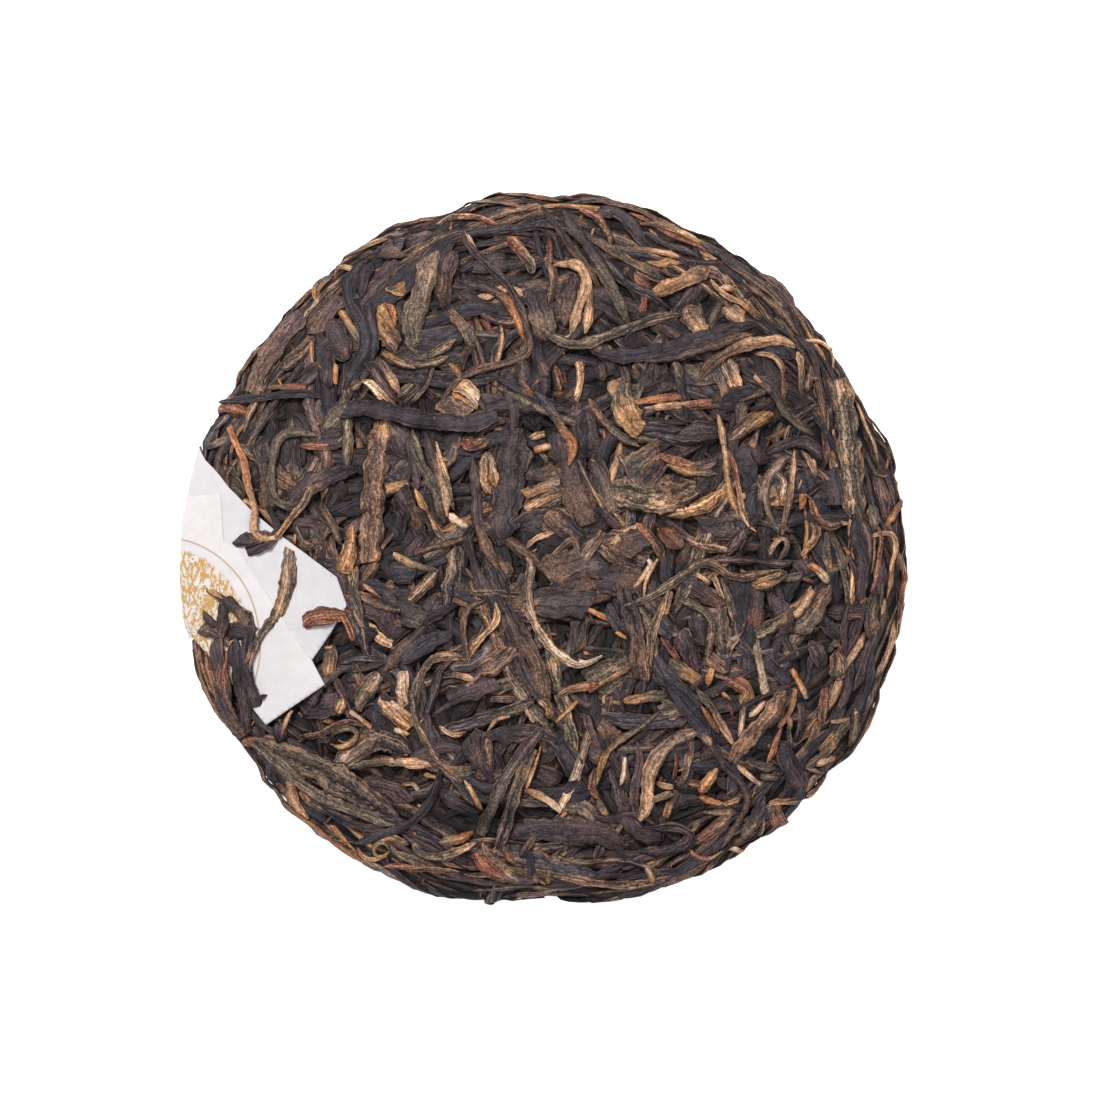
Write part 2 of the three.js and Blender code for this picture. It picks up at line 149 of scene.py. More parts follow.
@dataclass(frozen=True)
class PressedForm:
    """The form that the press gives the cake: a shallow dome, a rounded rim and a dented back.

    A place on it is two numbers, the chart: the distance over the surface from the middle of
    the face, or of the back, laid out along X and Y.
    """

    radius: float = 98.6
    centre_height: float = 23.6
    rim_height: float = 9.5
    foot_height: float = 1.0
    dome_fullness: float = 2.6
    dome_rounding: float = 0.62
    foot_fullness: float = 9.0
    foot_rounding: float = 0.55
    knot_radius: float = 26.0
    knot_depth: float = 8.5
    outline_drop: float = 0.8
    unevenness: float = 0.45
    core_depth: float = 3.0
    core_rim_depth: float = 1.6
    rim_start: float = 72.0
    rim_end: float = 92.0
    outline_lobes: tuple[tuple[float, float, float], ...] = (
        (90, 0.6, 9), (32, -1.4, 10), (140, -1.4, 10), (200, 1.4, 14), (270, -2.6, 7), (345, 1.5, 15),
    )

    def outline(self, angle: Points) -> Points:
        """Radius of the outline.

        Args:
            angle: Directions from +X, in radians.

        Returns:
            The radius in each direction.
        """
        degrees = np.degrees(angle)
        radius = self.radius - self.outline_drop * np.sin(angle)
        for at, out, spread in self.outline_lobes:
            away = (degrees - at + 180) % 360 - 180
            radius = radius + out * np.exp(-0.5 * (away / spread) ** 2)
        return radius

    def face_height(self, share: Points) -> Points:
        """Height of the face at a share of the way from its middle to the outline."""
        fall = np.clip(1 - share**self.dome_fullness, 0, 1) ** self.dome_rounding
        return self.rim_height + (self.centre_height - self.rim_height) * fall

    def back_height(self, share: Points) -> Points:
        """Height of the back.

        Args:
            share: Share of the way from its middle to the outline.

        Returns:
            The height over the table.
        """
        fall = np.clip(1 - share**self.foot_fullness, 0, 1) ** self.foot_rounding
        to_knot_rim = np.minimum(1, share * self.radius / self.knot_radius)
        dent = self.knot_depth * (0.5 + 0.5 * np.cos(np.pi * to_knot_rim))
        return self.rim_height - (self.rim_height - self.foot_height) * fall + dent

    def core_inset(self, reach: Points) -> Points:
        """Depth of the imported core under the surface, at a distance from the middle of a side."""
        rimward = smooth_step(self.rim_start, self.rim_end, np.asarray(reach, float))
        return self.core_depth + (self.core_rim_depth - self.core_depth) * rimward

    def section(self) -> tuple[Points, Points]:
        """The section's length table.

        Returns:
            Places on the section, from 0 at the face's middle over 1 at the rim to 2 at the
            back's middle, and the length over the surface up to each.
        """
        turn = np.linspace(0, 2, 4001)
        share = np.sin(turn * np.pi / 2)
        height = np.where(turn <= 1, self.face_height(share), self.back_height(share))
        steps = np.hypot(np.diff(self.radius * share), np.diff(height))
        return turn, np.concatenate([[0], np.cumsum(steps)])

    def point(self, chart: Points, side: Side) -> Points:
        """Places on the surface.

        Args:
            chart: Rows of X and Y on the chart.
            side: The side that the chart belongs to.

        Returns:
            Rows of x, y and z.
        """
        turns, lengths = self.section()
        length, angle = polar(chart)
        if side is Side.BACK:
            length = lengths[-1] - length
        turn = np.interp(length, lengths, turns)
        share = np.sin(turn * np.pi / 2)
        radius = share * self.outline(angle)
        x = radius * np.cos(angle)
        y = radius * np.sin(angle)
        broad = np.sin(x * 0.113 + 1.3) * np.cos(y * 0.131 - 0.4)
        fine = np.sin((x + y) * 0.207) * np.cos((x - y) * 0.173 + 2.1)
        hills = self.unevenness * (broad + 0.6 * fine) * np.cos(turn * np.pi / 2)
        face = self.face_height(share) + hills
        return np.stack([x, y, np.where(turn <= 1, face, self.back_height(share))], 1)

    def place(self, chart: Points, side: Side) -> tuple[Points, Points]:
        """Places on the surface with their outward directions.

        Args:
            chart: Rows of X and Y on the chart.
            side: The side that the chart belongs to.

        Returns:
            Rows of x, y and z, and rows of unit normals.
        """
        step = 0.6
        across_x = self.point(chart + [step, 0], side) - self.point(chart - [step, 0], side)
        across_y = self.point(chart + [0, step], side) - self.point(chart - [0, step], side)
        normal = np.cross(across_x, across_y)
        if side is Side.BACK:
            normal = -normal
        normal /= np.linalg.norm(normal, axis=1, keepdims=True)
        return self.point(chart, side), normal

    def chart_of_seen(self, seen: Points, eye: "Eye") -> Points:
        """Finds what the camera sees.

        Args:
            seen: Rows of x and y where a line of sight meets the rim's level.
            eye: The camera.

        Returns:
            Rows of X and Y on the face's chart.
        """
        turns, lengths = self.section()
        plan = np.asarray(seen, float)
        for _ in range(4):
            length, angle = polar(plan)
            share = np.minimum(length / self.outline(angle), 1)
            rise = self.face_height(share) - self.rim_height
            centre = np.array([eye.x, eye.y])
            plan = centre + (seen - centre) * (1 - rise / eye.distance)[:, None]
        length, angle = polar(plan)
        share = np.minimum(length / self.outline(angle), 1)
        length = np.interp(2 / np.pi * np.arcsin(share), turns, lengths)
        return np.stack([length * np.cos(angle), length * np.sin(angle)], 1)


@dataclass(frozen=True)
class Eye:
    """The camera, straight above the cake, with the photograph's scale at the rim's level."""

    x: float = 1.66
    y: float = 0.41
    frame_width: float = 303.6
    lens: float = 85.0
    sensor: float = 36.0
    picture_width: int = 1100

    @property
    def distance(self) -> float:
        """Distance from the rim's level."""
        return self.frame_width * self.lens / self.sensor

    @property
    def unit(self) -> float:
        """Millimetres in one unit of the picture, which is 1100 units wide."""
        return self.frame_width / self.picture_width

    def on_level(self, picture: Points) -> Points:
        """Turns places in the picture, counted from its top left corner, into x and y."""
        away = (np.asarray(picture, float) - self.picture_width / 2) * self.unit
        return np.array([self.x, self.y]) + away * [1, -1]


class Wire:
    """A node socket that takes part in Python expressions, adding a Math node for each step."""

    def __init__(self, loom: "Loom", socket: bpy.types.NodeSocket) -> None:
        """Wraps an output socket of the loom's tree."""
        self.loom = loom
        self.socket = socket

    def between(self, low: float, high: float) -> "Wire":
        """Eases from 0 at low to 1 at high.

        Args:
            low: Where the result is still 0.
            high: Where the result reaches 1.

        Returns:
            The eased value.
        """
        sockets = {"Value": self, "From_Min": low, "From_Max": high}
        return self.loom.wire("ShaderNodeMapRange", {"interpolation_type": "SMOOTHSTEP"}, **sockets)


def operator(operation: str, swapped: bool = False) -> Callable[..., Wire]:
    """Makes a method of Wire that adds one Math node.

    Args:
        operation: The node's operation.
        swapped: Whether the other value comes first.

    Returns:
        The method.
    """

    def method(self: Wire, *others: Any) -> Wire:
        """Adds the node for this wire and the others."""
        values = (*others, self) if swapped else (self, *others)
        return self.loom.wire("ShaderNodeMath", {"operation": operation}, *values)

    return method


for label, task in {"add": "ADD", "sub": "SUBTRACT", "mul": "MULTIPLY"}.items():
    setattr(Wire, f"__{label}__", operator(task))
    setattr(Wire, f"__r{label}__", operator(task, swapped=True))
for label, task in {"sin": "SINE", "cos": "COSINE", "abs": "ABSOLUTE", "sqrt": "SQRT"}.items():
    setattr(Wire, label, operator(task))


class Loom:
    """Adds nodes to one tree."""

    def __init__(self, tree: bpy.types.NodeTree) -> None:
        """Opens a tree."""
        self.tree = tree

    def node(
        self, kind: str, settings: dict[str, Any] | None = None, *values: Any, **sockets: Any
    ) -> bpy.types.Node:
        """Adds a node.

        Args:
            kind: The node's type name.
            settings: Its properties, set before its sockets.
            values: Values, sockets or wires for its inputs in use, in order.
            sockets: The same by socket name, with _ for a space.

        Returns:
            The node.
        """
        made = self.tree.nodes.new(kind)
        for name, value in (settings or {}).items():
            setattr(made, name, value)
        used = [socket for socket in made.inputs if socket.enabled]
        for socket, value in zip(used, values):
            self.feed(socket, value)
        for name, value in sockets.items():
            self.feed(next(s for s in used if s.name == name.replace("_", " ")), value)
        return made

    def feed(self, socket: bpy.types.NodeSocket, value: Any) -> None:
        """Gives a socket a value or a link.

        Args:
            socket: An input socket.
            value: A wire, a socket or a plain value.
        """
        source = value.socket if isinstance(value, Wire) else value
        if isinstance(source, bpy.types.NodeSocket):
            self.tree.links.new(source, socket)
        else:
            socket.default_value = value

    def wire(self, kind: str, *given: Any, **sockets: Any) -> Wire:
        """Adds a node, as the method above does, and wraps its first output in use."""
        made = self.node(kind, *given, **sockets)
        return Wire(self, next(socket for socket in made.outputs if socket.enabled))

    def parts(self, vector: Any) -> tuple[Wire, ...]:
        """The three numbers of a vector."""
        return tuple(Wire(self, part) for part in self.node("ShaderNodeSeparateXYZ", {}, vector).outputs)

    def joined(self, x: Any, y: Any, z: Any) -> Wire:
        """A vector of three numbers."""
        return self.wire("ShaderNodeCombineXYZ", {}, x, y, z)

    def held(self, name: str, output: str = "Vector") -> Wire:
        """A mesh attribute, as a material reads it."""
        return Wire(self, self.node("ShaderNodeAttribute", {"attribute_name": name}).outputs[output])

    def place(self) -> Wire:
        """Places on the object, as a material reads them."""
        return Wire(self, self.node("ShaderNodeTexCoord").outputs["Object"])

    def vector(self, operation: str, *values: Any) -> Wire:
        """Adds a Vector Math node of an operation, with wires or plain values for its inputs."""
        return self.wire("ShaderNodeVectorMath", {"operation": operation}, *values)

    def blend(self, factor: Any, low: Any, high: Any, mode: str = "MIX") -> Wire:
        """Mixes two colours.

        Args:
            factor: Share of the second colour.
            low: First colour.
            high: Second colour.
            mode: The way of mixing.

        Returns:
            The mixed colour.
        """
        full = [(*value, 1.0) if isinstance(value, tuple) else value for value in (low, high)]
        return self.wire("ShaderNodeMix", {"data_type": "RGBA", "blend_type": mode}, factor, *full)

    def noise(self, vector: Any, scale: float, detail: float = 2.0, roughness: float = 0.5) -> Wire:
        """Adds a Noise Texture.

        Args:
            vector: Where it is read.
            scale: Its scale.
            detail: Its octaves.
            roughness: How strong the finer octaves are.

        Returns:
            Its value, from 0 to 1 and mostly near the middle.
        """
        settings = {"Vector": vector, "Scale": scale, "Detail": detail, "Roughness": roughness}
        return self.wire("ShaderNodeTexNoise", **settings)


@dataclass(frozen=True)
class Finish:
    """A material whose colour and relief are worked out from nodes.

    Attributes:
        name: The material's name.
    """

    name: str

    def start(self, **constants: Any) -> tuple[bpy.types.Material, Loom, bpy.types.Node]:
        """Opens a new material.

        Args:
            constants: Plain values of the shader's sockets, with _ for a space.

        Returns:
            The material, its nodes and its shader.
        """
        material = bpy.data.materials.new(self.name)
        material.use_nodes = True
        shader = material.node_tree.nodes["Principled BSDF"]
        for label, value in constants.items():
            shader.inputs[label.replace("_", " ")].default_value = value
        return material, Loom(material.node_tree), shader

    @staticmethod
    def dress(
        loom: Loom, shader: bpy.types.Node, colour: Wire, height: Wire, strength: float, depth: float
    ) -> None:
        """Feeds the shader its colour and its relief.

        Args:
            loom: The material's nodes.
            shader: Its shader.
            colour: The colour.
            height: The relief, from 0 to 1.
            strength: How strongly the relief shows.
            depth: How deep it is, in millimetres.
        """
        relief = loom.wire("ShaderNodeBump", Strength=strength, Distance=depth * MM, Height=height)
        loom.feed(shader.inputs["Base Color"], colour)
        loom.feed(shader.inputs["Normal"], relief)


@dataclass(frozen=True)
class LeafFinish(Finish):
    """Dried leaf: a strand's own tone, with painted shade in creases, down its sides and where it lies
    deep, lengthwise fibres, pale crests partly painted as highlight, and dust.

    Attributes:
        crest_and_highlight_tint: What pale crests and edges lean to, partly the leaf's own pale fibre and
            partly painted highlight.
        gold_tint: What the golden patches lean to.
        dust_tint: The dust's tone.
        roughness: Middling roughness.
        relief: Height of the creases.
    """

    crest_and_highlight_tint: Colour = linear((236, 190, 150))
    gold_tint: Colour = linear((178, 128, 82))
    dust_tint: Colour = linear((196, 166, 136))
    roughness: float = 0.6
    relief: float = 0.5

    def make(self) -> bpy.types.Material:
        """Makes the leaf's material.

        Returns:
            The material, which reads the strands' attributes.
        """
        material, loom, shader = self.start(Specular_IOR_Level=0.32)
        tone = loom.held("tone", "Color")
        grain = loom.held("grain")
        phase, gild_and_highlight, sunk = loom.parts(loom.held("look"))
        side, top, coarse = loom.parts(loom.held("lie"))
        place = loom.place()
        warp = loom.noise(loom.vector("MULTIPLY", grain, (0.5, 0.5, 0.16)), 1.0, 3, 0.6)
        fibre = loom.noise(loom.vector("MULTIPLY", grain, (1.45, 1.45, 0.12)), 1.0, 4, 0.65)
        thread = loom.noise(loom.vector("MULTIPLY", grain, (3.3, 3.3, 0.36)), 1.0, 3, 0.65)
        mottle = loom.noise(place, 520, 5, 0.7)
        patch = loom.noise(place, 170, 3, 0.6)
        dust = loom.noise(place, 2600, 2, 0.6)
        grit = loom.noise(place, 1300, 3, 0.7)
        wave = phase + (warp - 0.5) * 7.0
        fold = (wave * 0.5).sin().abs()
        pleat = (wave * 1.5).sin().abs()
        # Painted shade: crease and wrinkle mark the fold lines along which the colour is darkened.
        crease = (1.0 - fold.between(0.0, 0.4)) * coarse
        wrinkle = (1.0 - pleat.between(0.0, 0.5)) * coarse
        lively = loom.wire("ShaderNodeRGBToBW", {}, tone).between(0.035, 0.11)
        streak = (fibre * 0.6 + thread * 0.4).between(0.43, 0.56)
        shadow = loom.blend(lively, (0.2, 0.195, 0.255), (0.5, 0.41, 0.34))
        dark = loom.blend(1.0, tone, shadow, "MULTIPLY")
        colour = loom.blend(1.0 - (1.0 - streak) * (0.25 + coarse * 0.75), dark, tone)
        golden = (patch * 0.7 + thread * 0.3 + gild_and_highlight * 0.1).between(0.6, 0.68)
        colour = loom.blend(golden * gild_and_highlight * 0.8, colour, self.gold_tint)
        # Pale crests and edges: partly the leaf's own pale fibre, partly painted highlight where ridges
        # and edges catch the light; glow is the strand's tone brightened for that painted highlight.
        crest = (fold * 0.24 + pleat * 0.18 + thread * 0.6 + warp * 0.35).between(0.76, 0.88)
        reach = side.abs()
        rim = reach.between(0.78, 0.88) * (1.0 - reach.between(0.95, 1.0))
        edge = rim * (fibre * 0.6 + patch * 0.6).between(0.52, 0.66)
        glow = loom.blend(1.0, tone, (3.0, 2.8, 2.6), "MULTIPLY")
        tint = loom.blend(0.45, self.crest_and_highlight_tint, glow)
        colour = loom.blend(crest * coarse * gild_and_highlight + edge * (0.4 + gild_and_highlight * 0.6), colour, tint)
        speck = (dust * 0.6 + grit * 0.4).between(0.5, 0.7) * (0.1 + lively * 0.16)
        colour = loom.blend(speck, colour, self.dust_tint)
        # Painted shade: each strand is lighter along its top and darker down its sides, by the rise of
        # its section.
        under = 0.09 + 0.53 * top.between(-0.1, 0.45) + 0.5 * top.between(0.35, 1.0)
        patches = patch.between(0.38, 0.66)
        grain_shade = 0.24 + mottle + patches * 0.48 + (grit - 0.5) * (0.9 + lively * 1.9)
        # Painted shade: darker in the creases and wrinkles and down the sides (under), times the leaf's
        # own mottle (grain_shade).
        shade = (1.0 - crease * (0.85 - lively * 0.3)) * (1.0 - wrinkle * (0.7 - lively * 0.25)) * under
        # Painted shade: strands lying deep among the others are darkened by how far they are sunk.
        shade = shade * (1.0 - sunk * 0.85) * 0.95 * grain_shade
        grey = loom.wire("ShaderNodeCombineColor", {}, shade, shade, shade)
        colour = loom.blend(1.0, colour, grey, "MULTIPLY")
        height = (fold * 0.45 + pleat * 0.2 + fibre * 0.7 + thread * 0.45) * (0.35 + coarse * 0.65)
        height = height + dust * 0.1 + grit * (0.12 + lively * 0.2) + mottle * 0.2
        loom.feed(shader.inputs["Roughness"], self.roughness + (mottle - 0.5) * 0.5)
        self.dress(loom, shader, colour, height, 0.9, self.relief)
        return material


@dataclass(frozen=True)
class DuffAndShadeFinish(Finish):
    """Dust and broken leaf deep between the strands, coloured near black as painted shade in the gaps."""

    name: str = "leaf_duff"

    def make(self) -> bpy.types.Material:
        """Makes the material of what lies between the leaves.

        Returns:
            The material.
        """
        material, loom, shader = self.start(Roughness=0.9)
        grain = loom.noise(loom.place(), 900, 4, 0.7)
        # Near-black tones: partly dark dust, partly painted shade in the gaps between strands.
        colour = loom.blend(grain.between(0.4, 0.7), linear((20, 17, 21)), linear((44, 36, 37)))
        self.dress(loom, shader, colour, grain, 0.8, 0.6)
        return material


@dataclass(frozen=True)
class PaperFinish(Finish):
    """Thin white paper with faint stains, and a gold ring round gold curls where printed."""

    white: Colour
    printed: bool
    ring_x: float = -104.8
    ring_y: float = -25.1
    ring_radius: float = 28.7
    ring_line: float = 0.3
    gold: Colour = linear((194, 148, 58))
    ring_gold: Colour = linear((176, 146, 112))

    def print_masks(self, loom: Loom, lay: Wire) -> tuple[Wire, Wire]:
        """The printed marks.

        Args:
            loom: The material's nodes.
            lay: Places on the sheet, in millimetres.

        Returns:
            Masks of the ring and of the curls inside it.
        """
        across, up, _ = loom.parts(lay)
        x = across - self.ring_x
        y = up - self.ring_y
        reach = (x * x + y * y).sqrt()
        ring = 1.0 - (reach - self.ring_radius).abs().between(self.ring_line * 0.6, self.ring_line)
        ragged = loom.noise(lay, 0.5, 3, 0.6)
        swirl = loom.noise(loom.vector("MULTIPLY", lay, (1.3, 0.7, 1.0)), 0.42, 2, 0.6)
        curl = loom.noise(loom.vector("ADD", lay, (40.0, 7.0, 3.0)), 1.05, 2, 0.5)
        loops = 1.0 - (swirl - 0.5).abs().between(0.03, 0.075)
        curls = (1.0 - (curl - 0.5).abs().between(0.03, 0.08)) * 0.7
        dense = loom.noise(lay, 0.16, 2, 0.5).between(0.4, 0.55)
        inside = 1.0 - (reach + ragged * 3.0).between(self.ring_radius - 2.0, self.ring_radius - 0.8)
        marks = 1.0 - (1.0 - loops) * (1.0 - curls * dense)
        return ring, marks * inside

    def make(self) -> bpy.types.Material:
        """Makes the paper's material.

        Returns:
            The material, which reads the sheet's lay attribute.
        """
        material, loom, shader = self.start(Roughness=0.7)
        lay = loom.held("lay")
        pulp = loom.noise(lay, 0.28, 4, 0.6)
        stain = loom.noise(lay, 0.13, 2, 0.5).between(0.6, 0.78) * 0.16
        fleck = loom.noise(lay, 0.55, 1, 0.4).between(0.76, 0.79) * 0.6
        colour = loom.blend(pulp.between(0.3, 0.7) * 0.2, self.white, linear((180, 180, 184)))
        colour = loom.blend(stain, colour, linear((214, 176, 140)))
        if self.printed:
            ring, marks = self.print_masks(loom, lay)
            colour = loom.blend(marks * 0.95, colour, self.gold)
            colour = loom.blend(ring * 0.75, colour, self.ring_gold)
        colour = loom.blend(fleck, colour, linear((188, 138, 100)))
        self.dress(loom, shader, colour, loom.noise(lay, 3.0, 3, 0.6), 0.25, 0.1)
        return material


@dataclass(frozen=True)
class Cut:
    """How a kind of strand is shaped.

    Attributes:
        flatness: Thickness as a share of the width.
        lobes: Ridges round the section.
        groove: Depth of the grooves as a share of the section.
        tip: Width at the ends as a share of the full width.
        spiral: Turns of the ridges, in radians for each millimetre.
        gild_and_highlight: How golden the patches are and how pale the ridges and edges are, the pale
            ridges and edges being partly painted highlight.
        cup: Rise of the edges as a share of the width.
        box: How square the section's shoulders are.
        coarse: How strongly fibres show, and with them the painted shade in the creases and the painted
            highlight on the crests.
    """

    flatness: float
    lobes: float
    groove: float
    tip: float
    spiral: float
    gild_and_highlight: float
    cup: float
    box: float
    coarse: float


class Kind(Enum):
    """What a strand is, with its shape."""

    TWIST = Cut(0.55, 3, 0.26, 0.26, 0.08, 0.7, 0.0, 0.3, 0.9)
    FLAT = Cut(0.17, 4, 0.22, 0.3, 0.02, 0.6, 0.2, 0.7, 0.9)
    PLATE = Cut(0.18, 5, 0.2, 0.8, 0.0, 0.45, 0.16, 0.8, 0.8)
    STALK = Cut(0.75, 2, 0.1, 0.7, 0.04, 0.6, 0.0, 0.2, 0.5)
    BUD = Cut(0.6, 4, 0.14, 0.12, 0.05, 0.8, 0.0, 0.2, 1.0)
    RIBBON = Cut(0.3, 4, 0.26, 0.8, 0.03, 0.75, 0.25, 0.5, 1.0)


class Tone(Enum):
    """The leaf's tones, as they show in plain light."""

    BLACK = (61, 56, 64)
    DARK = (77, 66, 68)
    PURPLE = (88, 68, 72)
    OLIVE = (98, 90, 78)
    BROWN = (112, 86, 72)
    GOLD = (178, 132, 88)
    TAN = (212, 168, 130)
    PALE = (240, 208, 176)
    RUST = (142, 86, 66)
    SLATE = (74, 72, 80)
    DUN = (136, 115, 101)
    AMBER = (196, 128, 80)


@dataclass
class Strand:
    """One leaf strand, laid out on a chart.

    Attributes:
        path: Rows of X and Y on the chart, a path's step apart.
        width: Full width in the middle.
        kind: What it is.
        colour: Linear colour at the start and at the end.
        seed: Chooses its small irregularities.
        dip: How far its ends sink under their neighbours.
        height: Height of its middle line over the form at each row of path, once laid.
        sunk: How deep each row lies under the leaf's surface, from 0 to 1, from which the leaf's material
            paints shade.
    """

    path: Points
    width: float
    kind: Kind
    colour: tuple[Points, Points]
    seed: int
    dip: float = 0.0
    height: Points = field(default_factory=lambda: np.zeros(0))
    sunk: Points = field(default_factory=lambda: np.zeros(0))

    def widths(self) -> Points:
        """Measures the strand across.

        Returns:
            Half widths along the path, tapered at the ends and a little uneven.
        """
        share = np.linspace(0, 1, len(self.path))
        tip = self.kind.value.tip
        if self.kind is Kind.BUD:
            swell = tip + (1 - tip) * np.sin(np.pi * share**0.8) ** 0.8
        else:
            sharp = 3.5 if self.kind in (Kind.PLATE, Kind.RIBBON) else 1.9
            swell = tip + (1 - tip) * np.clip(np.sin(np.pi * share) * sharp, 0, 1) ** 0.85
        rng = np.random.default_rng(self.seed)
        along = share * len(self.path) * PATH_STEP
        swell = swell * (1 + 0.13 * np.sin(along / rng.uniform(1.2, 2.6) + rng.uniform(0, 6)))
        swell = swell * (1 + 0.07 * np.sin(along / rng.uniform(0.4, 0.8) + rng.uniform(0, 6)))
        return 0.5 * self.width * swell

    def flatness(self) -> float:
        """Thickness as a share of the width, less for broad leaf."""
        return self.kind.value.flatness * (0.35 + 0.65 / max(1.0, self.width / 3.0))

    def depths(self) -> Points:
        """Full thickness along the path."""
        return 2 * self.widths() * self.flatness()

    def dips(self) -> Points:
        """Sinks the ends into the leaf around them.

        Returns:
            How far each row sinks below where it would lie.
        """
        share = np.linspace(0, 1, len(self.path))
        reach = min(0.3, 6.0 / (PATH_STEP * len(self.path)))
        return self.dip * (smooth_step(reach, 0, share) + smooth_step(1 - reach, 1, share))


def resample(points: Points) -> Points:
    """Spaces points along a line by a path's step.

    Args:
        points: Rows of coordinates.

    Returns:
        The new rows, from the first point to the last.
    """
    steps = np.concatenate([[0], np.cumsum(np.linalg.norm(np.diff(points, axis=0), axis=1))])
    count = max(4, int(round(steps[-1] / PATH_STEP)) + 1)
    at = np.linspace(0, steps[-1], count)
    return np.stack([np.interp(at, steps, points[:, i]) for i in range(points.shape[1])], 1)


def smooth_line(points: Points) -> Points:
    """Rounds the corners of a line by cutting them four times.

    Args:
        points: Rows of coordinates.

    Returns:
        A finer and smoother line with the same ends.
    """
    line = np.asarray(points, float)
    for _ in range(4):
        first = 0.75 * line[:-1] + 0.25 * line[1:]
        second = 0.25 * line[:-1] + 0.75 * line[1:]
        middle = np.stack([first, second], 1).reshape(-1, line.shape[1])
        line = np.concatenate([line[:1], middle, line[-1:]])
    return line


@dataclass
class LeafBed:
    """A map of heights on a chart, on which strands are laid one on another.

    Attributes:
        reach: Half the side of the square map.
        pitch: Side of a cell.
    """

    reach: float
    pitch: float = 0.45

    def __post_init__(self) -> None:
        """Makes the empty map."""
        count = int(2 * self.reach / self.pitch) + 1
        self.height = np.zeros((count, count))
        self.owner = np.full((count, count), -1)

    def cells(self, chart: Points) -> tuple[Points, Points]:
        """Cell numbers of places on the chart."""
        at = np.clip(((chart + self.reach) / self.pitch).round().astype(int), 0, len(self.height) - 1)
        return at[..., 0], at[..., 1]

    def centres(self) -> tuple[Points, Points]:
        """X and Y of every cell."""
        line = np.arange(len(self.height)) * self.pitch - self.reach
        return np.meshgrid(line, line, indexing="ij")

    def footprint(self, strand: Strand, rows: int = 9) -> tuple[Points, Points]:
        """The places that a strand covers.

        Args:
            strand: The strand.
            rows: Number of lines across it.

        Returns:
            Places on the chart, and how far off the middle each is, from -1 to 1.
        """
        off = np.linspace(-0.92, 0.92, rows)
        shift = strand.widths()[:, None, None] * off[None, :, None] * leftward(strand.path)[:, None, :]
        return strand.path[:, None, :] + shift, np.broadcast_to(off, shift.shape[:2])

    def lay(self, strand: Strand, number: int, bend: float = 4.0, on_top: bool = False) -> None:
        """Lays a strand on the map.

        Args:
            strand: The strand, which is given its heights.
            number: Its number, kept in the cells where it is on top.
            bend: How far a hump beneath is felt along the strand, in millimetres.
            on_top: Whether it rests on the humps instead of sinking in between them.
        """
        places, off = self.footprint(strand)
        cells = self.cells(places)
        under = self.height[cells]
        support = 0.5 * under.max(1) + 0.5 * under.mean(1)
        if on_top:
            support = 0.85 * under.max(1) + 0.15 * under.mean(1)
            reach = np.arange(len(support))[:, None] + np.arange(-3, 4)
            support = support[np.clip(reach, 0, len(support) - 1)].max(1)
        half = max(1, int(bend / PATH_STEP))
        padded = np.pad(support, 2 * half, mode="edge")
        base = np.convolve(padded, bell(half), mode="valid") - strand.dips()
        depth = strand.depths()
        strand.height = base + 0.4 * depth
        top = base[:, None] + depth[:, None] * (0.45 + 0.45 * np.sqrt(1 - off**2))
        np.maximum.at(self.height, cells, top)
        seen = top >= self.height[cells] - 1e-6
        self.owner[cells[0][seen], cells[1][seen]] = number

    def blurred(self, spread: float) -> Points:
        """Smooths the heights.

        Args:
            spread: Size of the finest detail that is kept.

        Returns:
            The smoothed heights.
        """
        kernel = bell(int(spread / self.pitch))
        blur = self.height
        for axis in range(2):
            blur = np.apply_along_axis(lambda row: np.convolve(row, kernel, "same"), axis, blur)
        weight = np.convolve(np.ones(len(blur)), kernel, "same")
        return blur / (weight[:, None] * weight[None, :])


@dataclass(frozen=True)
class Press:
    """Squeezes laid strands to the form.

    Attributes:
        level: Height of the middling leaf's top over the core's form.
        give: Share of the strands' relief that is left.
        lowest: Deepest that a strand's middle may lie under paper.
        clear: Least height of a strand's top over the core.
        rise: What the rise of the highest strands over the middling leaf is eased to.
    """

    level: float = -0.1
    give: float = 0.85
    lowest: float = -3.6
    clear: float = 0.7
    rise: float = 2.3

    def squeeze(
        self, strands: Sequence[Strand], bed: LeafBed, form: PressedForm, ceiling: Points | None = None
    ) -> None:
        """Gives each strand its pressed heights.

        Args:
            strands: The laid strands.
            bed: The map they lie on.
            form: The cake's form, with its core's depth.
            ceiling: Highest top that each cell allows, if there is one.
        """
        mean = bed.blurred(7.0)
        for strand in strands:
            cells = bed.cells(strand.path)
            top = strand.height + 0.5 * strand.depths() - mean[cells]
            eased = self.rise * np.tanh(self.give * np.maximum(top, 0) / self.rise)
            deep = form.core_inset(polar(strand.path)[0]) - self.clear
            sink = deep * np.tanh(self.give * np.maximum(-top, 0) / deep)
            pressed = self.level + eased - sink - 0.5 * strand.depths()
            if ceiling is not None:
                lid = ceiling[bed.cells(bed.footprint(strand)[0])].min(1)
                pressed = np.minimum(pressed, lid - strand.depths())
            strand.height = np.maximum(pressed, self.lowest)
            strand.sunk = np.clip(-top / 3.0, 0, 1)


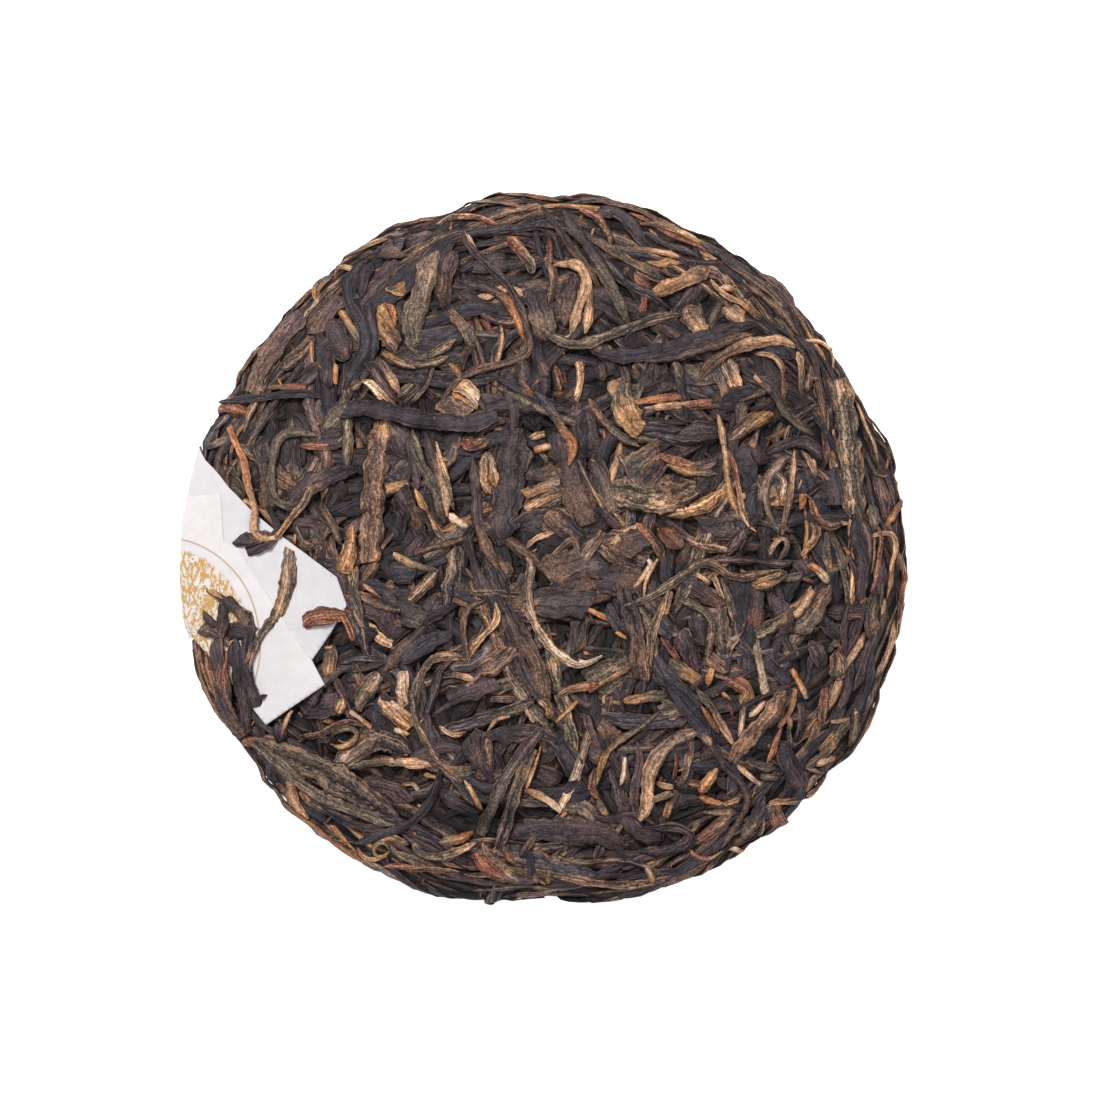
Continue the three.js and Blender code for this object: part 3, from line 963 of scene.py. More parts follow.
class Scatter:
    """Draws strands at random, in loose bundles that turn along the rim."""

    def __init__(self, form: PressedForm, seed: int) -> None:
        """Starts the draws.

        Args:
            form: The cake's form; it is kept but not used.
            seed: Chooses the draws.
        """
        self.form = form
        self.rng = np.random.default_rng(seed)
        self.serial = seed * 10000

    def colour(self, kind: Kind, width: float) -> tuple[Points, Points]:
        """Draws a strand's tones.

        Args:
            kind: The kind of strand.
            width: Its width; only narrow leaf is pale.

        Returns:
            Linear colours at its start and its end.
        """
        shares = {
            Tone.BLACK: 0.24, Tone.DARK: 0.28, Tone.PURPLE: 0.13, Tone.OLIVE: 0.11, Tone.SLATE: 0.05,
            Tone.BROWN: 0.11, Tone.GOLD: 0.03, Tone.TAN: 0.02, Tone.RUST: 0.02, Tone.DUN: 0.01,
        }
        if kind in (Kind.FLAT, Kind.PLATE) or (kind is Kind.TWIST and width > 2.9):
            shares = {
                Tone.BLACK: 0.28, Tone.DARK: 0.32, Tone.PURPLE: 0.18, Tone.OLIVE: 0.1, Tone.SLATE: 0.05,
                Tone.BROWN: 0.07,
            }
        if kind in (Kind.STALK, Kind.BUD):
            shares = {Tone.DARK: 0.2, Tone.BROWN: 0.25, Tone.GOLD: 0.25, Tone.TAN: 0.14, Tone.RUST: 0.16}
        tones = list(shares)
        weights = np.array(list(shares.values()))
        first = tones[self.rng.choice(len(tones), p=weights / weights.sum())]
        second = first
        if self.rng.random() < 0.3:
            second = tones[self.rng.choice(len(tones), p=weights / weights.sum())]
        lift = self.rng.normal(1.0, 0.2)
        return tuple(np.array(linear(tone.value)) * lift for tone in (first, second))

    def path(self, middle: Points, heading: float, length: float, bend: float, wobble: float) -> Points:
        """A gently winding line.

        Args:
            middle: Its middle on the chart.
            heading: Its direction there, in radians.
            length: Its length.
            bend: How far it turns from end to end, in radians.
            wobble: How far it winds from side to side, in radians.

        Returns:
            Rows of X and Y, a path's step apart.
        """
        count = max(8, int(length / PATH_STEP))
        share = np.linspace(-0.5, 0.5, count)
        rate = self.rng.uniform(0.8, 1.9)
        phase = self.rng.uniform(0, 2 * np.pi)
        turn = heading + bend * share + wobble * np.sin(2 * np.pi * rate * share + phase)
        steps = np.stack([np.cos(turn), np.sin(turn)], 1) * (length / (count - 1))
        line = np.cumsum(steps, 0)
        return middle + line - line[count // 2]

    def heading(self, chart: Points, side: Side) -> float:
        """Draws a direction: bundled in the middle, and mostly along the rim near it.

        Args:
            chart: The strand's middle.
            side: The side that it lies on.

        Returns:
            The direction, in radians.
        """
        start = 62.0 if side is Side.FACE else 70.0
        rimward = float(smooth_step(start, 92.0, np.hypot(*chart)))
        bundle = 2.6 * float(waves(chart, 58.0, SEED))
        free = bundle + self.rng.normal(0, 0.5)
        along_rim = np.arctan2(chart[1], chart[0]) + np.pi / 2 + self.rng.normal(0, 0.2)
        if self.rng.random() < rimward:
            return float(along_rim)
        return float(free)

    def strand(self, chart: Points, side: Side) -> Strand:
        """Draws one strand.

        Args:
            chart: Its middle on the chart.
            side: The side that it lies on.

        Returns:
            The strand, not yet laid.
        """
        rng = self.rng
        kinds = (Kind.TWIST, Kind.FLAT, Kind.PLATE, Kind.STALK, Kind.BUD)
        near_rim = np.hypot(*chart) > RIM_REACH
        shares = [0.66, 0.08, 0.06, 0.17, 0.03] if near_rim else [0.46, 0.17, 0.23, 0.1, 0.04]
        kind = kinds[rng.choice(5, p=shares)]
        width = float(np.clip(rng.lognormal(np.log(3.0), 0.28), 1.6, 5.5))
        length = float(np.clip(rng.lognormal(np.log(33), 0.4), 14, 70))
        if kind is Kind.FLAT:
            width = rng.uniform(4.0, 8.5)
            length = rng.uniform(14, 36)
        if kind is Kind.PLATE:
            width = rng.uniform(3.2, 6.8)
            length = width * rng.uniform(2.0, 5.2)
        if kind is Kind.STALK:
            width = rng.uniform(1.3, 2.2)
            length = rng.uniform(8, 30)
        if kind is Kind.BUD:
            width = rng.uniform(1.8, 3.2)
            length = rng.uniform(10, 22)
        if near_rim:
            width = 0.72 * width
        bend = rng.normal(0, 0.55) if not near_rim else rng.normal(0, 0.12) + length / 105
        wobble = abs(rng.normal(0, 0.28 if kind is not Kind.FLAT else 0.12)) * (0.5 if near_rim else 1)
        if rng.random() < 0.07 and not near_rim:
            bend = rng.choice([-1, 1]) * rng.uniform(1.8, 3.4)
        self.serial += 1
        line = self.path(chart, self.heading(chart, side), length, bend, wobble)
        return Strand(line, width, kind, self.colour(kind, width), self.serial, dip=rng.uniform(0.3, 1.5))

    def beside(self, strand: Strand, step: float) -> Strand:
        """Draws a strand that runs beside another one.

        Args:
            strand: The other one.
            step: How far beside, in widths.

        Returns:
            The strand, not yet laid.
        """
        shift = leftward(strand.path) * step * strand.width
        count = len(strand.path)
        first = int(count * self.rng.uniform(0, 0.2))
        last = max(first + 8, int(count * self.rng.uniform(0.75, 1.0)))
        sway = np.linspace(-1, 1, count)[:, None] * self.rng.normal(0, 0.25) * shift
        self.serial += 1
        width = strand.width * self.rng.uniform(0.75, 1.1)
        line = (strand.path + shift + sway)[first:last]
        colour = self.colour(strand.kind, width)
        return Strand(line, width, strand.kind, colour, self.serial, dip=strand.dip)

    def crumbs(self, count: int, outer: float) -> list[Strand]:
        """Draws crumbs of broken leaf over the face.

        Args:
            count: How many.
            outer: How far from the middle they lie.

        Returns:
            The crumbs, as very short strands.
        """
        tones = (Tone.GOLD, Tone.TAN, Tone.BROWN, Tone.AMBER, Tone.RUST, Tone.DARK)
        drawn = []
        for _ in range(count):
            radius = outer * np.sqrt(self.rng.random())
            angle = 2 * np.pi * self.rng.random()
            middle = radius * np.array([np.cos(angle), np.sin(angle)])
            length = self.rng.uniform(1.2, 3.4)
            line = self.path(middle, self.rng.uniform(0, np.pi), length, self.rng.normal(0, 0.5), 0.1)
            tone = tones[self.rng.choice(6, p=[0.14, 0.1, 0.26, 0.12, 0.14, 0.24])]
            colour = np.array(linear(tone.value)) * self.rng.normal(0.95, 0.15)
            kind = Kind.PLATE if self.rng.random() < 0.5 else Kind.STALK
            self.serial += 1
            width = self.rng.uniform(0.5, 1.3)
            drawn.append(Strand(line, width, kind, (colour, colour), self.serial, dip=0.0))
        return drawn

    def cover(self, count: int, inner: float, outer: float, side: Side) -> list[Strand]:
        """Draws strands evenly over a ring of the chart, large ones first.

        Args:
            count: How many.
            inner: Inner radius of the ring.
            outer: Outer radius of the ring.
            side: The side that they lie on.

        Returns:
            The strands.
        """
        drawn = []
        for i in range(count):
            share = (i + self.rng.random()) / count
            radius = np.sqrt(inner**2 + (outer**2 - inner**2) * ((share * 7.381) % 1))
            angle = 2 * np.pi * self.rng.random()
            chart = radius * np.array([np.cos(angle), np.sin(angle)])
            strand = self.strand(chart, side)
            drawn.append(strand)
            if strand.kind is Kind.TWIST and len(strand.path) > 30:
                steps = self.rng.permutation([-0.95, 0.95, 1.9])[: self.rng.integers(0, 4)]
                drawn += [self.beside(strand, float(step)) for step in steps]
        return drawn


# Strands that catch the eye, the lowest first: kind, width, tones and path, read off the picture
# in units of which it is 1100 wide, from its top left corner.
SEEN_STRANDS = """
P 30 brown-dark 494,552 500,592
P 28 black-dark 518,530 552,519
P 32 brown-dark 543,514 576,541
P 36 brown-dark 545,574 602,558
P 32 dark-brown 556,594 602,586
P 34 brown-dark 603,538 646,562
P 30 dark-brown 598,578 642,582
P 26 dark 538,604 592,604
P 24 brown-dark 512,604 530,578
P 30 olive-brown 630,470 660,452
P 34 olive 590,684 632,664
R 22 purple-brown 303,315 287,333 270,358 260,375 253,394
F 14 brown-olive 315,338 298,358 280,368
P 20 purple-brown 342,298 325,315 314,334
F 22 dark 330,318 338,338 346,360
P 20 amber-gold 387,303 388,347
P 14 gold 388,284 405,293
P 18 slate 380,253 403,247
P 16 purple 398,262 381,278
P 22 dark-brown 383,254 400,252
T 9 dark 398,306 407,332 410,354
F 8 brown-dark 400,267 423,250 443,237 473,230
P 22 dark 474,264 507,260
P 14 olive-gold 391,294 406,287
P 22 gold-brown 377,317 398,347
F 17 purple-brown 455,252 447,272 443,293 441,307
F 24 dark-dun 532,290 541,315 547,340
F 8 rust-brown 548,235 550,252 547,267
F 22 purple-brown 575,272 565,298 562,322
T 18 dark 594,216 612,211 632,223 641,238 655,247
T 9 brown-olive 585,235 613,252 640,267 667,278
T 9 slate 602,257 623,283 648,292 668,308
F 9 rust 623,267 636,278 650,288
F 20 brown-tan 684,308 705,337
F 18 dun-tan 724,306 749,323
F 8 rust 645,295 642,314
P 24 dark 640,385 668,372
P 22 olive-dark 690,375 735,372
P 26 black-purple 735,460 768,452
P 20 dark 680,432 722,430
F 30 dark 582,405 583,430 586,458
R 26 olive-gold 618,378 622,402 632,425 641,432
R 34 dark-brown 566,438 573,480 589,524
F 38 olive-brown 611,488 645,496 704,487
F 28 dark-brown 520,470 540,476 562,470
F 30 olive-dark 524,506 548,498 566,488
F 32 dark 518,428 512,472 505,515 501,545
F 25 brown-dark 618,548 650,534
F 18 rust-brown 662,528 681,549
P 26 dark-olive 700,530 735,528
P 24 black 740,578 742,612 743,642
P 16 purple-rust 758,585 756,612 753,642
P 20 purple 780,598 784,632
P 16 dark-brown 683,580 724,606
P 16 olive 720,610 724,650
P 18 dark 695,612 704,646
P 16 slate 656,618 672,636
P 17 purple 679,632 697,668
P 20 dark-purple 688,640 695,672
P 15 olive-gold 666,661 698,681
P 16 rust-gold 731,679 752,692 742,705
P 16 brown 708,654 729,671
P 15 black-slate 764,661 792,684
P 20 brown 789,688 767,720
P 16 slate 606,608 627,636
P 20 purple-dark 497,682 470,690 447,699
F 18 dark-brown 483,548 497,582 508,615 525,643 538,665 547,708
F 21 olive-slate 458,546 455,582 447,612
P 26 slate 392,574 418,570
P 24 dark-olive 400,610 425,622
F 26 dark-brown 395,493 407,510 418,532
P 22 dark 320,440 348,436
P 20 black-purple 317,475 292,503
P 18 brown 275,474 295,489
F 22 dark-olive 221,463 230,480 243,499
F 20 olive 350,402 337,418 323,432
P 22 dark-purple 420,450 440,470
P 20 dark 432,485 452,500
R 24 brown 382,420 380,447 373,480 372,522 370,562
F 14 rust-brown 462,439 474,447 487,438
F 18 dun-gold 488,452 487,470 493,492
P 20 dark 385,590 402,606
P 22 black 345,632 372,640
F 13 brown-gold 332,645 327,682
P 17 brown-rust 351,671 367,692
F 10 purple 335,678 346,702
F 17 dun-olive 379,672 358,703
P 26 black-purple 308,708 338,700
P 30 black 372,705 410,712
F 12 black 270,755 273,785
F 12 gold-tan 290,776 294,800 308,818
T 9 black-purple 318,800 340,817 367,828 392,826
P 20 purple 366,787 390,788 408,803
P 18 dark-olive 410,765 440,757
F 12 brown-olive 423,763 452,772 480,770
P 16 slate-dark 444,798 474,817
P 22 dark 470,735 482,766
F 9 dark-brown 476,731 480,769
F 9 brown 487,738 491,770
P 18 black-dark 497,728 512,742
P 22 black 560,745 580,775
P 22 dark-purple 535,775 560,782
P 18 brown 600,723 616,740
P 17 dark-brown 586,748 604,760
P 18 olive-dark 661,712 690,704
P 17 dark 620,806 637,835 662,838
F 15 olive-dun 561,806 582,804 597,820
F 26 dark-purple 510,838 540,829 573,832 600,830 625,849
P 26 black 545,800 590,790
F 11 olive-slate 557,855 577,863 598,862 623,860 648,866 662,873
F 14 rust-purple 475,852 485,867 500,876 540,878
P 22 dark 700,760 722,752
F 15 slate-olive 682,752 691,770 682,790 670,818
P 20 dark 715,800 740,812
F 15 slate-olive 765,796 757,813 741,838
F 15 brown-rust 734,815 712,828 694,842
P 15 brown-rust 772,804 779,826
R 13 olive-gold 848,720 831,738 822,752
F 12 olive-dun 855,708 853,735 847,754
F 12 brown 821,721 807,748 794,762
F 11 brown-olive 838,735 820,755 805,768
R 11 rust-brown 825,688 822,707 823,724
F 18 olive-brown 878,594 869,617 876,640
P 14 dark-purple 828,613 860,611
F 13 black 812,617 824,622 840,640
F 22 brown-olive 830,583 812,610 794,628
P 18 purple-dark 800,560 812,575
P 26 dun-gold 770,480 776,506
P 22 dark-slate 800,470 806,490
P 22 black-dark 830,470 834,505
P 18 purple 880,560 884,590
F 12 olive-dun 740,400 742,432
F 20 black 718,408 742,397 758,392
T 16 brown-gold 728,441 750,423 771,411
R 14 dun-tan 726,360 738,392
R 12 slate-dun 715,366 727,397
T 14 black-purple 853,518 855,543 863,563 857,602
F 10 brown-gold 812,516 821,533 802,555
T 9 dark 848,600 842,625 846,655
T 9 tan 897,620 890,650 878,680
T 9 black-brown 852,660 846,690 838,712
F 16 purple-dark 812,640 826,668
F 18 brown-olive 838,650 835,680
T 9 purple-dark 870,640 862,668 852,690
S 5 tan-gold 887,599 884,614
T 8 slate-dun 202,445 215,447 230,438
T 7 rust 300,446 341,447
T 8 olive 240,443 258,463
T 8 purple 288,523 317,522 323,548
T 9 olive-brown 320,502 328,517 341,546
T 9 olive-brown 283,536 316,548
S 9 amber 321,564 334,574
T 9 slate 338,663 360,657 384,661
T 7 dark 350,672 384,663
T 9 gold-olive 343,699 342,714
T 7 olive-dark 470,593 497,592 523,595
T 7 tan-gold 495,602 498,622 483,636 472,648 468,661
T 9 brown-olive 467,659 450,655 432,658 422,673 415,690 415,718
T 7 brown 485,600 467,607 462,627 468,658
T 9 purple-slate 452,660 438,670 435,687 425,718
T 7 brown-tan 451,673 475,679
T 14 dark-brown 427,626 405,648 384,671
T 18 slate 450,633 430,640 401,661
R 12 pale-tan 403,671 403,706
R 12 pale-tan 386,702 409,718
S 7 tan-olive 393,554 413,565 436,571
T 12 olive-brown 438,572 413,598 406,609
T 11 olive 348,416 348,443 347,469
T 10 dark-purple 407,432 413,460 418,489
S 10 gold 387,490 409,483
T 9 brown-olive 320,504 333,522 340,545
T 10 gold 353,526 350,543 341,562
T 16 purple-black 299,498 317,483 338,473 357,469
T 11 olive 412,430 419,462 436,488 444,524
T 9 dark-tan 425,431 433,460 446,489 447,517
T 7 tan-olive 436,442 444,470 454,510
T 7 gold-brown 415,488 428,518 447,543
S 9 pale 449,516 467,527
T 10 brown-olive 380,353 403,365 433,365 448,357
P 25 brown-dun 445,398 473,411
P 14 tan-pale 454,385 468,388 479,402
S 3 pale 441,376 444,384
S 3 pale 448,372 452,381
S 3 tan 453,372 456,379
T 5 amber-tan 452,393 478,409
T 11 dark-brown 472,455 477,490 476,515 486,548 502,575
T 8 tan-gold 529,438 547,433 561,430
S 8 gold-tan 534,450 550,446
P 12 gold-dun 524,495 560,482
P 8 tan-gold 525,509 559,494
R 16 dark-dun 592,455 604,480 613,512
S 3 dun-gold 578,460 590,485 602,508
T 6 tan 526,548 535,538 554,533
T 6 dun 552,555 567,541 575,537 579,560
P 14 dun-brown 582,557 602,531
S 7 tan 612,544 623,532 638,527
T 11 rust-brown 636,523 653,540 663,559
T 16 tan-gold 649,500 670,511 704,508 726,490
T 10 slate-amber 535,392 553,413 564,432 575,443 568,465
T 8 brown-olive 589,399 603,422 620,437 639,446
T 8 tan 577,356 582,376 575,402
T 7 tan-rust 643,408 670,407 716,402
S 8 amber-rust 636,403 653,400 684,397
T 10 rust-dark 657,453 678,463 700,467 722,458
T 8 gold-olive 667,465 687,473 719,474
T 7 brown 557,375 560,392
T 12 dark-brown 599,362 604,380
T 10 dark-brown 624,362 628,384
T 12 dark-slate 655,362 652,382
T 9 brown-olive 672,358 682,378
T 12 purple-dark 540,362 548,378
T 8 brown-rust 520,380 532,396
T 8 tan-olive 735,332 700,345
S 6 tan-gold 720,287 736,290
T 13 dark-olive 562,208 573,230 590,248 602,270 615,293 629,325
T 8 dark-brown 542,208 558,230 580,255 601,289
T 9 rust-brown 579,209 597,218 607,230 611,248
T 7 brown-tan 622,247 637,250 663,252 682,257
T 7 slate-dark 643,232 670,243 701,259
T 6 rust 629,214 673,233 703,248 742,268
T 17 gold-brown 652,291 682,283 709,269
T 6 tan-gold 711,279 722,295 743,303 760,319
T 9 brown-tan 588,279 590,308 585,334
T 11 tan 554,263 570,262 583,270 588,287 578,307 571,336
T 6 brown-tan 500,322 503,342 496,364
T 10 dark-amber 457,279 482,287 500,293 513,307 526,343
T 12 brown-olive 448,312 465,327 474,347
T 4 tan 465,232 477,252 490,267 496,273
T 12 rust-olive 507,237 530,261 533,273
T 8 brown-rust 430,224 470,214 498,225
T 5 olive-brown 455,205 500,203 530,210
T 6 brown-rust 480,199 520,197 560,203
T 6 brown 590,203 640,212 690,232
T 6 rust-dark 640,206 690,224 730,248
T 7 brown-tan 640,224 668,226 700,242
T 8 slate 700,245 735,268 760,292
T 7 brown-dark 720,262 750,280 775,300 795,322
T 8 brown 745,285 775,308 800,335
T 6 tan-rust 356,270 343,265 335,268 333,278
T 9 slate 363,262 357,281
T 10 black 373,261 365,280 362,299
T 9 olive-gold 332,273 318,287 315,299
S 10 gold-olive 342,312 351,326 359,341
S 4 gold 313,341 313,363
S 8 brown-rust 269,387 306,387
S 7 gold-amber 336,364 335,384
T 10 dark 330,368 328,388
T 8 gold-olive 381,351 398,362 416,369
T 9 olive-tan 376,356 390,375 399,393
T 11 purple 373,367 383,385 396,401
T 9 pale-tan 361,380 373,385 383,398 398,409
T 10 brown-olive 350,389 361,382
S 3 rust 345,338 347,355
T 7 brown-tan 232,392 226,405
T 14 rust 213,412 228,406 246,413
T 8 brown 262,345 245,368 233,385
T 6 brown-olive 318,288 296,306 276,328
T 7 olive-tan 340,262 365,248 390,236
T 7 brown-rust 375,240 405,224 440,212
T 5 brown-rust 188,616 195,638 203,672 217,707 235,740
S 11 rust-brown 243,742 276,738
T 14 dark-black 280,703 281,742
S 5 tan-rust 292,710 283,733
T 6 brown-amber 247,752 257,770 280,797 307,818 333,840 365,864
T 5 amber-tan 355,848 363,858 383,859
T 9 olive-brown 395,851 423,861 442,871
T 7 rust-brown 383,868 423,864 461,871
T 9 olive 413,842 423,855 448,856 461,847
T 10 amber-rust 437,843 462,836
T 8 gold-olive 377,837 393,835 409,844
T 11 olive-amber 440,841 474,834
T 9 olive-tan 440,856 476,843
S 5 gold 423,775 441,778
T 4 rust-pale 402,785 413,783 419,793
T 8 slate 440,765 457,782 474,804
T 14 slate-olive 440,734 482,720 515,710 534,701
T 5 pale-rust 439,727 453,737 466,732
S 4 gold-tan 488,731 497,718 510,716
S 5 tan 526,709 534,722
T 10 brown-gold 539,699 551,708 548,719
S 4 gold 556,722 578,701
T 6 tan-gold 464,779 473,792 478,802 483,813
T 8 dark-purple 315,741 330,741
S 7 gold 319,717 333,723
T 10 gold-tan 337,716 344,699
T 12 dun-olive 356,710 368,690
S 5 pale-amber 349,712 363,722 373,729
R 15 tan-gold 379,699 395,715 409,729
R 12 pale-tan 400,688 405,706
S 8 pale-tan 394,730 408,735
T 8 olive-dark 616,750 640,748 658,747
T 9 purple 637,742 641,767 633,793 637,818
T 8 brown-rust 596,768 590,787 600,800
T 9 dark-brown 622,752 626,785
S 5 pale 625,757 622,783
T 8 olive-tan 597,800 608,817
T 8 olive-brown 690,753 683,780
T 5 rust-purple 675,752 678,763 671,791
T 9 gold-amber 672,785 656,803
S 7 gold-tan 656,785 673,787
B 11 gold-amber 718,766 708,783 696,799
T 8 gold 671,802 665,820
T 7 rust 678,738 698,730
S 7 amber 700,798 722,803
T 7 olive-brown 703,812 738,812
T 6 gold 722,803 740,798
T 9 slate-dark 747,757 760,768 778,770
S 7 olive-dark 761,777 781,778
T 9 brown 740,735 752,742
T 20 brown 786,694 770,715 753,733 740,747 732,763
S 6 gold-rust 796,689 790,710 778,727
T 7 rust-amber 781,727 775,745 769,764
T 6 olive 788,714 792,752
T 8 purple 800,699 802,723 797,745
T 7 olive-pale 747,700 742,722 738,735
F 20 black-purple 782,744 786,763 801,787
S 5 tan-gold 831,722 849,718
S 7 tan-gold 816,763 836,757
T 6 olive-brown 806,768 824,773
T 8 brown-gold 801,798 817,788 834,775
T 7 gold-olive 769,802 787,800 801,797
T 5 olive 763,815 760,838
T 7 brown-rust 834,776 850,755 866,728
T 8 purple-brown 845,768 865,738 880,705
T 6 brown-tan 888,690 880,715 868,738
T 6 brown 897,640 893,668 885,695
T 6 rust-brown 904,560 901,600 896,640
T 6 brown-tan 903,480 906,520 904,558
T 7 dark-brown 893,440 899,475
T 6 tan-brown 880,410 888,440 894,468
T 5 tan 855,393 867,425 879,462
T 7 dark 856,440 866,470 872,500
T 9 rust-amber 902,498 895,510 889,526
S 4 gold 862,451 863,470
T 12 olive 870,505 876,530
T 6 tan-gold 870,537 882,533 897,534 895,557 889,600
T 5 rust 873,522 882,538 880,557 872,600
T 8 olive 829,530 825,553 831,572
T 8 rust-brown 810,497 818,522 830,527 844,523
S 8 amber 802,494 802,509
T 9 amber-pale 807,562 820,572 829,583
S 5 rust 802,578 816,583
S 6 tan-brown 812,460 815,478
T 9 olive-pale 772,470 785,480 781,499
T 12 dun-olive 789,456 770,472 762,493 766,517 779,532
T 6 tan-olive 770,556 775,542 785,537 789,547 779,562
T 6 brown-tan 803,449 813,474
T 7 tan-brown 795,451 793,467 790,490 785,517 781,535
T 12 dark 767,453 793,440 813,443 825,460
T 7 brown-tan 826,371 833,400 842,433 850,470
R 23 olive 838,380 845,432 850,480 853,514
T 6 tan 805,339 823,343 832,355 833,369
T 7 dark-brown 790,332 805,342 813,353 817,372 820,400 826,430
T 8 tan-olive 797,352 802,375 804,395
T 8 brown-dark 811,366 807,392
T 7 tan-brown 754,352 773,355 785,370 784,402
T 12 dark-olive 746,379 767,383 778,400 793,423 818,434
T 14 gold-olive 752,584 773,580 786,571
T 6 gold-tan 714,628 713,645
T 5 tan 694,572 711,584
T 6 tan-pale 713,572 717,585 724,602
T 7 olive-slate 722,578 728,597 735,623 742,643
T 8 slate 735,643 752,658
T 8 purple-dark 706,559 737,560 757,561 778,565 799,561
T 10 brown-gold 668,592 663,618
T 6 rust 661,637 670,648 681,664
S 6 amber 588,609 606,618
S 5 amber 616,632 628,639
T 11 gold-olive 623,702 645,697 670,695
T 7 olive-dark 661,700 677,707 691,719
S 5 amber 646,708 652,711
S 5 gold 589,691 612,677 633,666
T 4 gold 721,692 733,701
T 4 rust 731,704 733,719
T 6 tan-pale 764,701 750,718
S 7 amber-tan 792,669 808,699
T 5 dark 797,681 773,692 750,703 736,711
T 18 slate-black 652,652 662,672 677,687 690,700 704,717
T 9 olive-brown 674,598 690,603 705,612 714,623 710,643 706,665
S 7 gold-amber 713,666 707,685
R 17 dark-brown 621,586 628,607 637,633 638,660 641,680
T 9 olive-brown 668,590 662,610 652,630 648,657 648,682
S 6 pale-tan 647,559 653,564 643,577 634,587
S 4 tan 658,559 645,580 644,597
T 9 olive-brown 622,606 638,603 665,588 683,575 698,563 713,563 727,575 743,578 757,574 780,570
R 13 tan-olive 813,590 795,611 775,623 755,636
R 9 dun-pale 757,639 758,657 762,674 766,694
T 16 black-slate 670,687 690,712 707,733 715,752
T 8 dark-brown 712,748 728,770 743,783 748,797 743,813 733,828 721,847
T 8 olive-tan 695,688 712,707 723,728 734,745
T 6 amber-brown 701,706 712,722 719,733
S 6 tan-pale 738,766 748,775 761,786
T 11 dark-purple 650,828 678,827 692,834 687,843 665,849 638,853
T 5 rust-tan 688,849 697,857 712,857 728,852
S 7 pale-amber 731,850 744,852
T 8 brown-tan 700,730 712,745
T 15 dun-tan 699,731 678,737 665,748 652,763 647,784 648,802 639,820
S 7 brown-olive 648,800 672,793
T 7 olive-gold 661,711 640,728 623,738 608,750 600,767 597,784
R 9 dun-pale 589,733 582,755 573,780 561,805
S 8 gold-pale 527,791 547,798 561,810
T 8 purple-brown 519,857 535,836
T 10 black 529,849 533,877
T 8 brown-rust 502,841 513,862
T 7 tan-gold 646,864 653,879
R 12 dark-olive 541,729 518,758 503,778 495,800 487,817 480,836
R 13 olive-dark 534,749 520,778 510,807 505,830 498,847
T 4 amber-tan 541,746 535,767 528,783 524,795
T 9 brown-olive 482,843 487,852 502,865 519,879
F 34 olive-dark 256,738 290,757 320,766 347,783 373,803 399,822
T 11 olive 262,742 293,776 323,797 365,813 397,824
F 24 dun-dark 336,765 357,748 373,736 397,740 409,754
T 10 olive-tan 340,767 373,761 407,762 434,764
T 8 brown 297,738 320,735 333,727 347,722 364,726
T 6 olive-gold 330,742 333,732 347,727 357,732 355,740 342,747 329,745
T 5 olive-gold 390,850 388,842 380,840 374,846 376,855 384,857 390,851
T 9 black-slate 440,768 437,788 428,805 413,822 395,829 373,836 353,844
T 7 olive-brown 412,688 415,720 425,738 435,758 450,772 462,782
T 9 olive-brown 421,355 430,356 444,348 456,340
F 22 dun-olive 438,246 430,270 421,295 413,318 412,340 418,356
F 9 dark-brown 457,233 478,257 497,273 513,292 523,317 531,345 525,356 498,365 463,374 440,402
F 15 black 367,258 350,283 350,303 362,320 369,342 358,362 344,390
T 9 black-slate 370,300 372,318 377,340 372,360
T 9 black 221,403 250,400 283,395 303,393 325,398
T 10 olive 325,437 300,432 280,435 273,452 273,473 272,497 283,505 298,508 311,497 316,482
T 9 brown-rust 557,700 562,690 600,684
T 17 gold-black 353,530 351,550 343,573 348,593 357,622 368,655
T 9 olive-slate 358,566 353,590 362,615
T 5 tan-rust 362,584 381,598
T 16 black-dark 592,351 623,357 657,353 690,342 720,333 759,322
T 11 dark-brown 645,361 680,356 707,348 757,332
T 11 olive-dark 539,327 560,342 580,347 607,335 633,327 660,317 682,314
T 12 brown-tan 699,382 710,363 733,350 758,342 780,340 794,347
T 8 tan-gold 718,412 725,447 728,488 739,520
T 6 rust-tan 728,450 737,474 742,519 756,532
T 10 dun-pale 522,551 532,565 528,590 528,610 540,632 555,653 580,667 602,656
R 18 black 345,410 367,407 392,413 420,420 444,422 468,427 497,415
"""

# Strands that lie on the paper, in the same form.
PAPER_STRANDS = """
P 15 dark-brown 239,538 258,541 268,531
P 13 dark 248,552 266,545 280,533
R 13 dark-black 250,612 251,630 247,660
P 17 black-dark 226,634 240,629 254,634
P 22 dark-brown 223,597 224,617 218,640
T 9 dark 205,611 222,628
P 15 brown-dark 205,626 219,629 232,640
R 9 brown-dark 207,587 217,594 234,606 254,614
R 12 dark-brown 228,598 240,608 250,624
P 24 dark 216,642 222,672 229,704
P 18 black-dark 236,640 243,670 246,704
R 13 rust-brown 229,650 226,676 229,700 236,722
R 11 black-purple 244,646 247,690 249,731
P 15 dark-brown 222,694 234,716 246,735
R 6 rust-brown 209,650 214,672 222,700
R 16 dun-olive 291,549 291,567 288,588 282,609 272,624
R 9 olive-dark 278,614 262,635 253,653 249,680
R 13 black-dark 249,662 252,682 259,706
T 5 black 255,698 269,694
P 16 rust 303,626 312,617 330,614 347,617
R 8 rust 343,614 350,626 354,640
S 8 amber-tan 232,428 240,447 248,463 250,485 255,500 258,513 255,527 260,538 270,540 280,537
T 8 gold-olive 272,540 280,537 288,525 297,513 308,500 314,482
"""


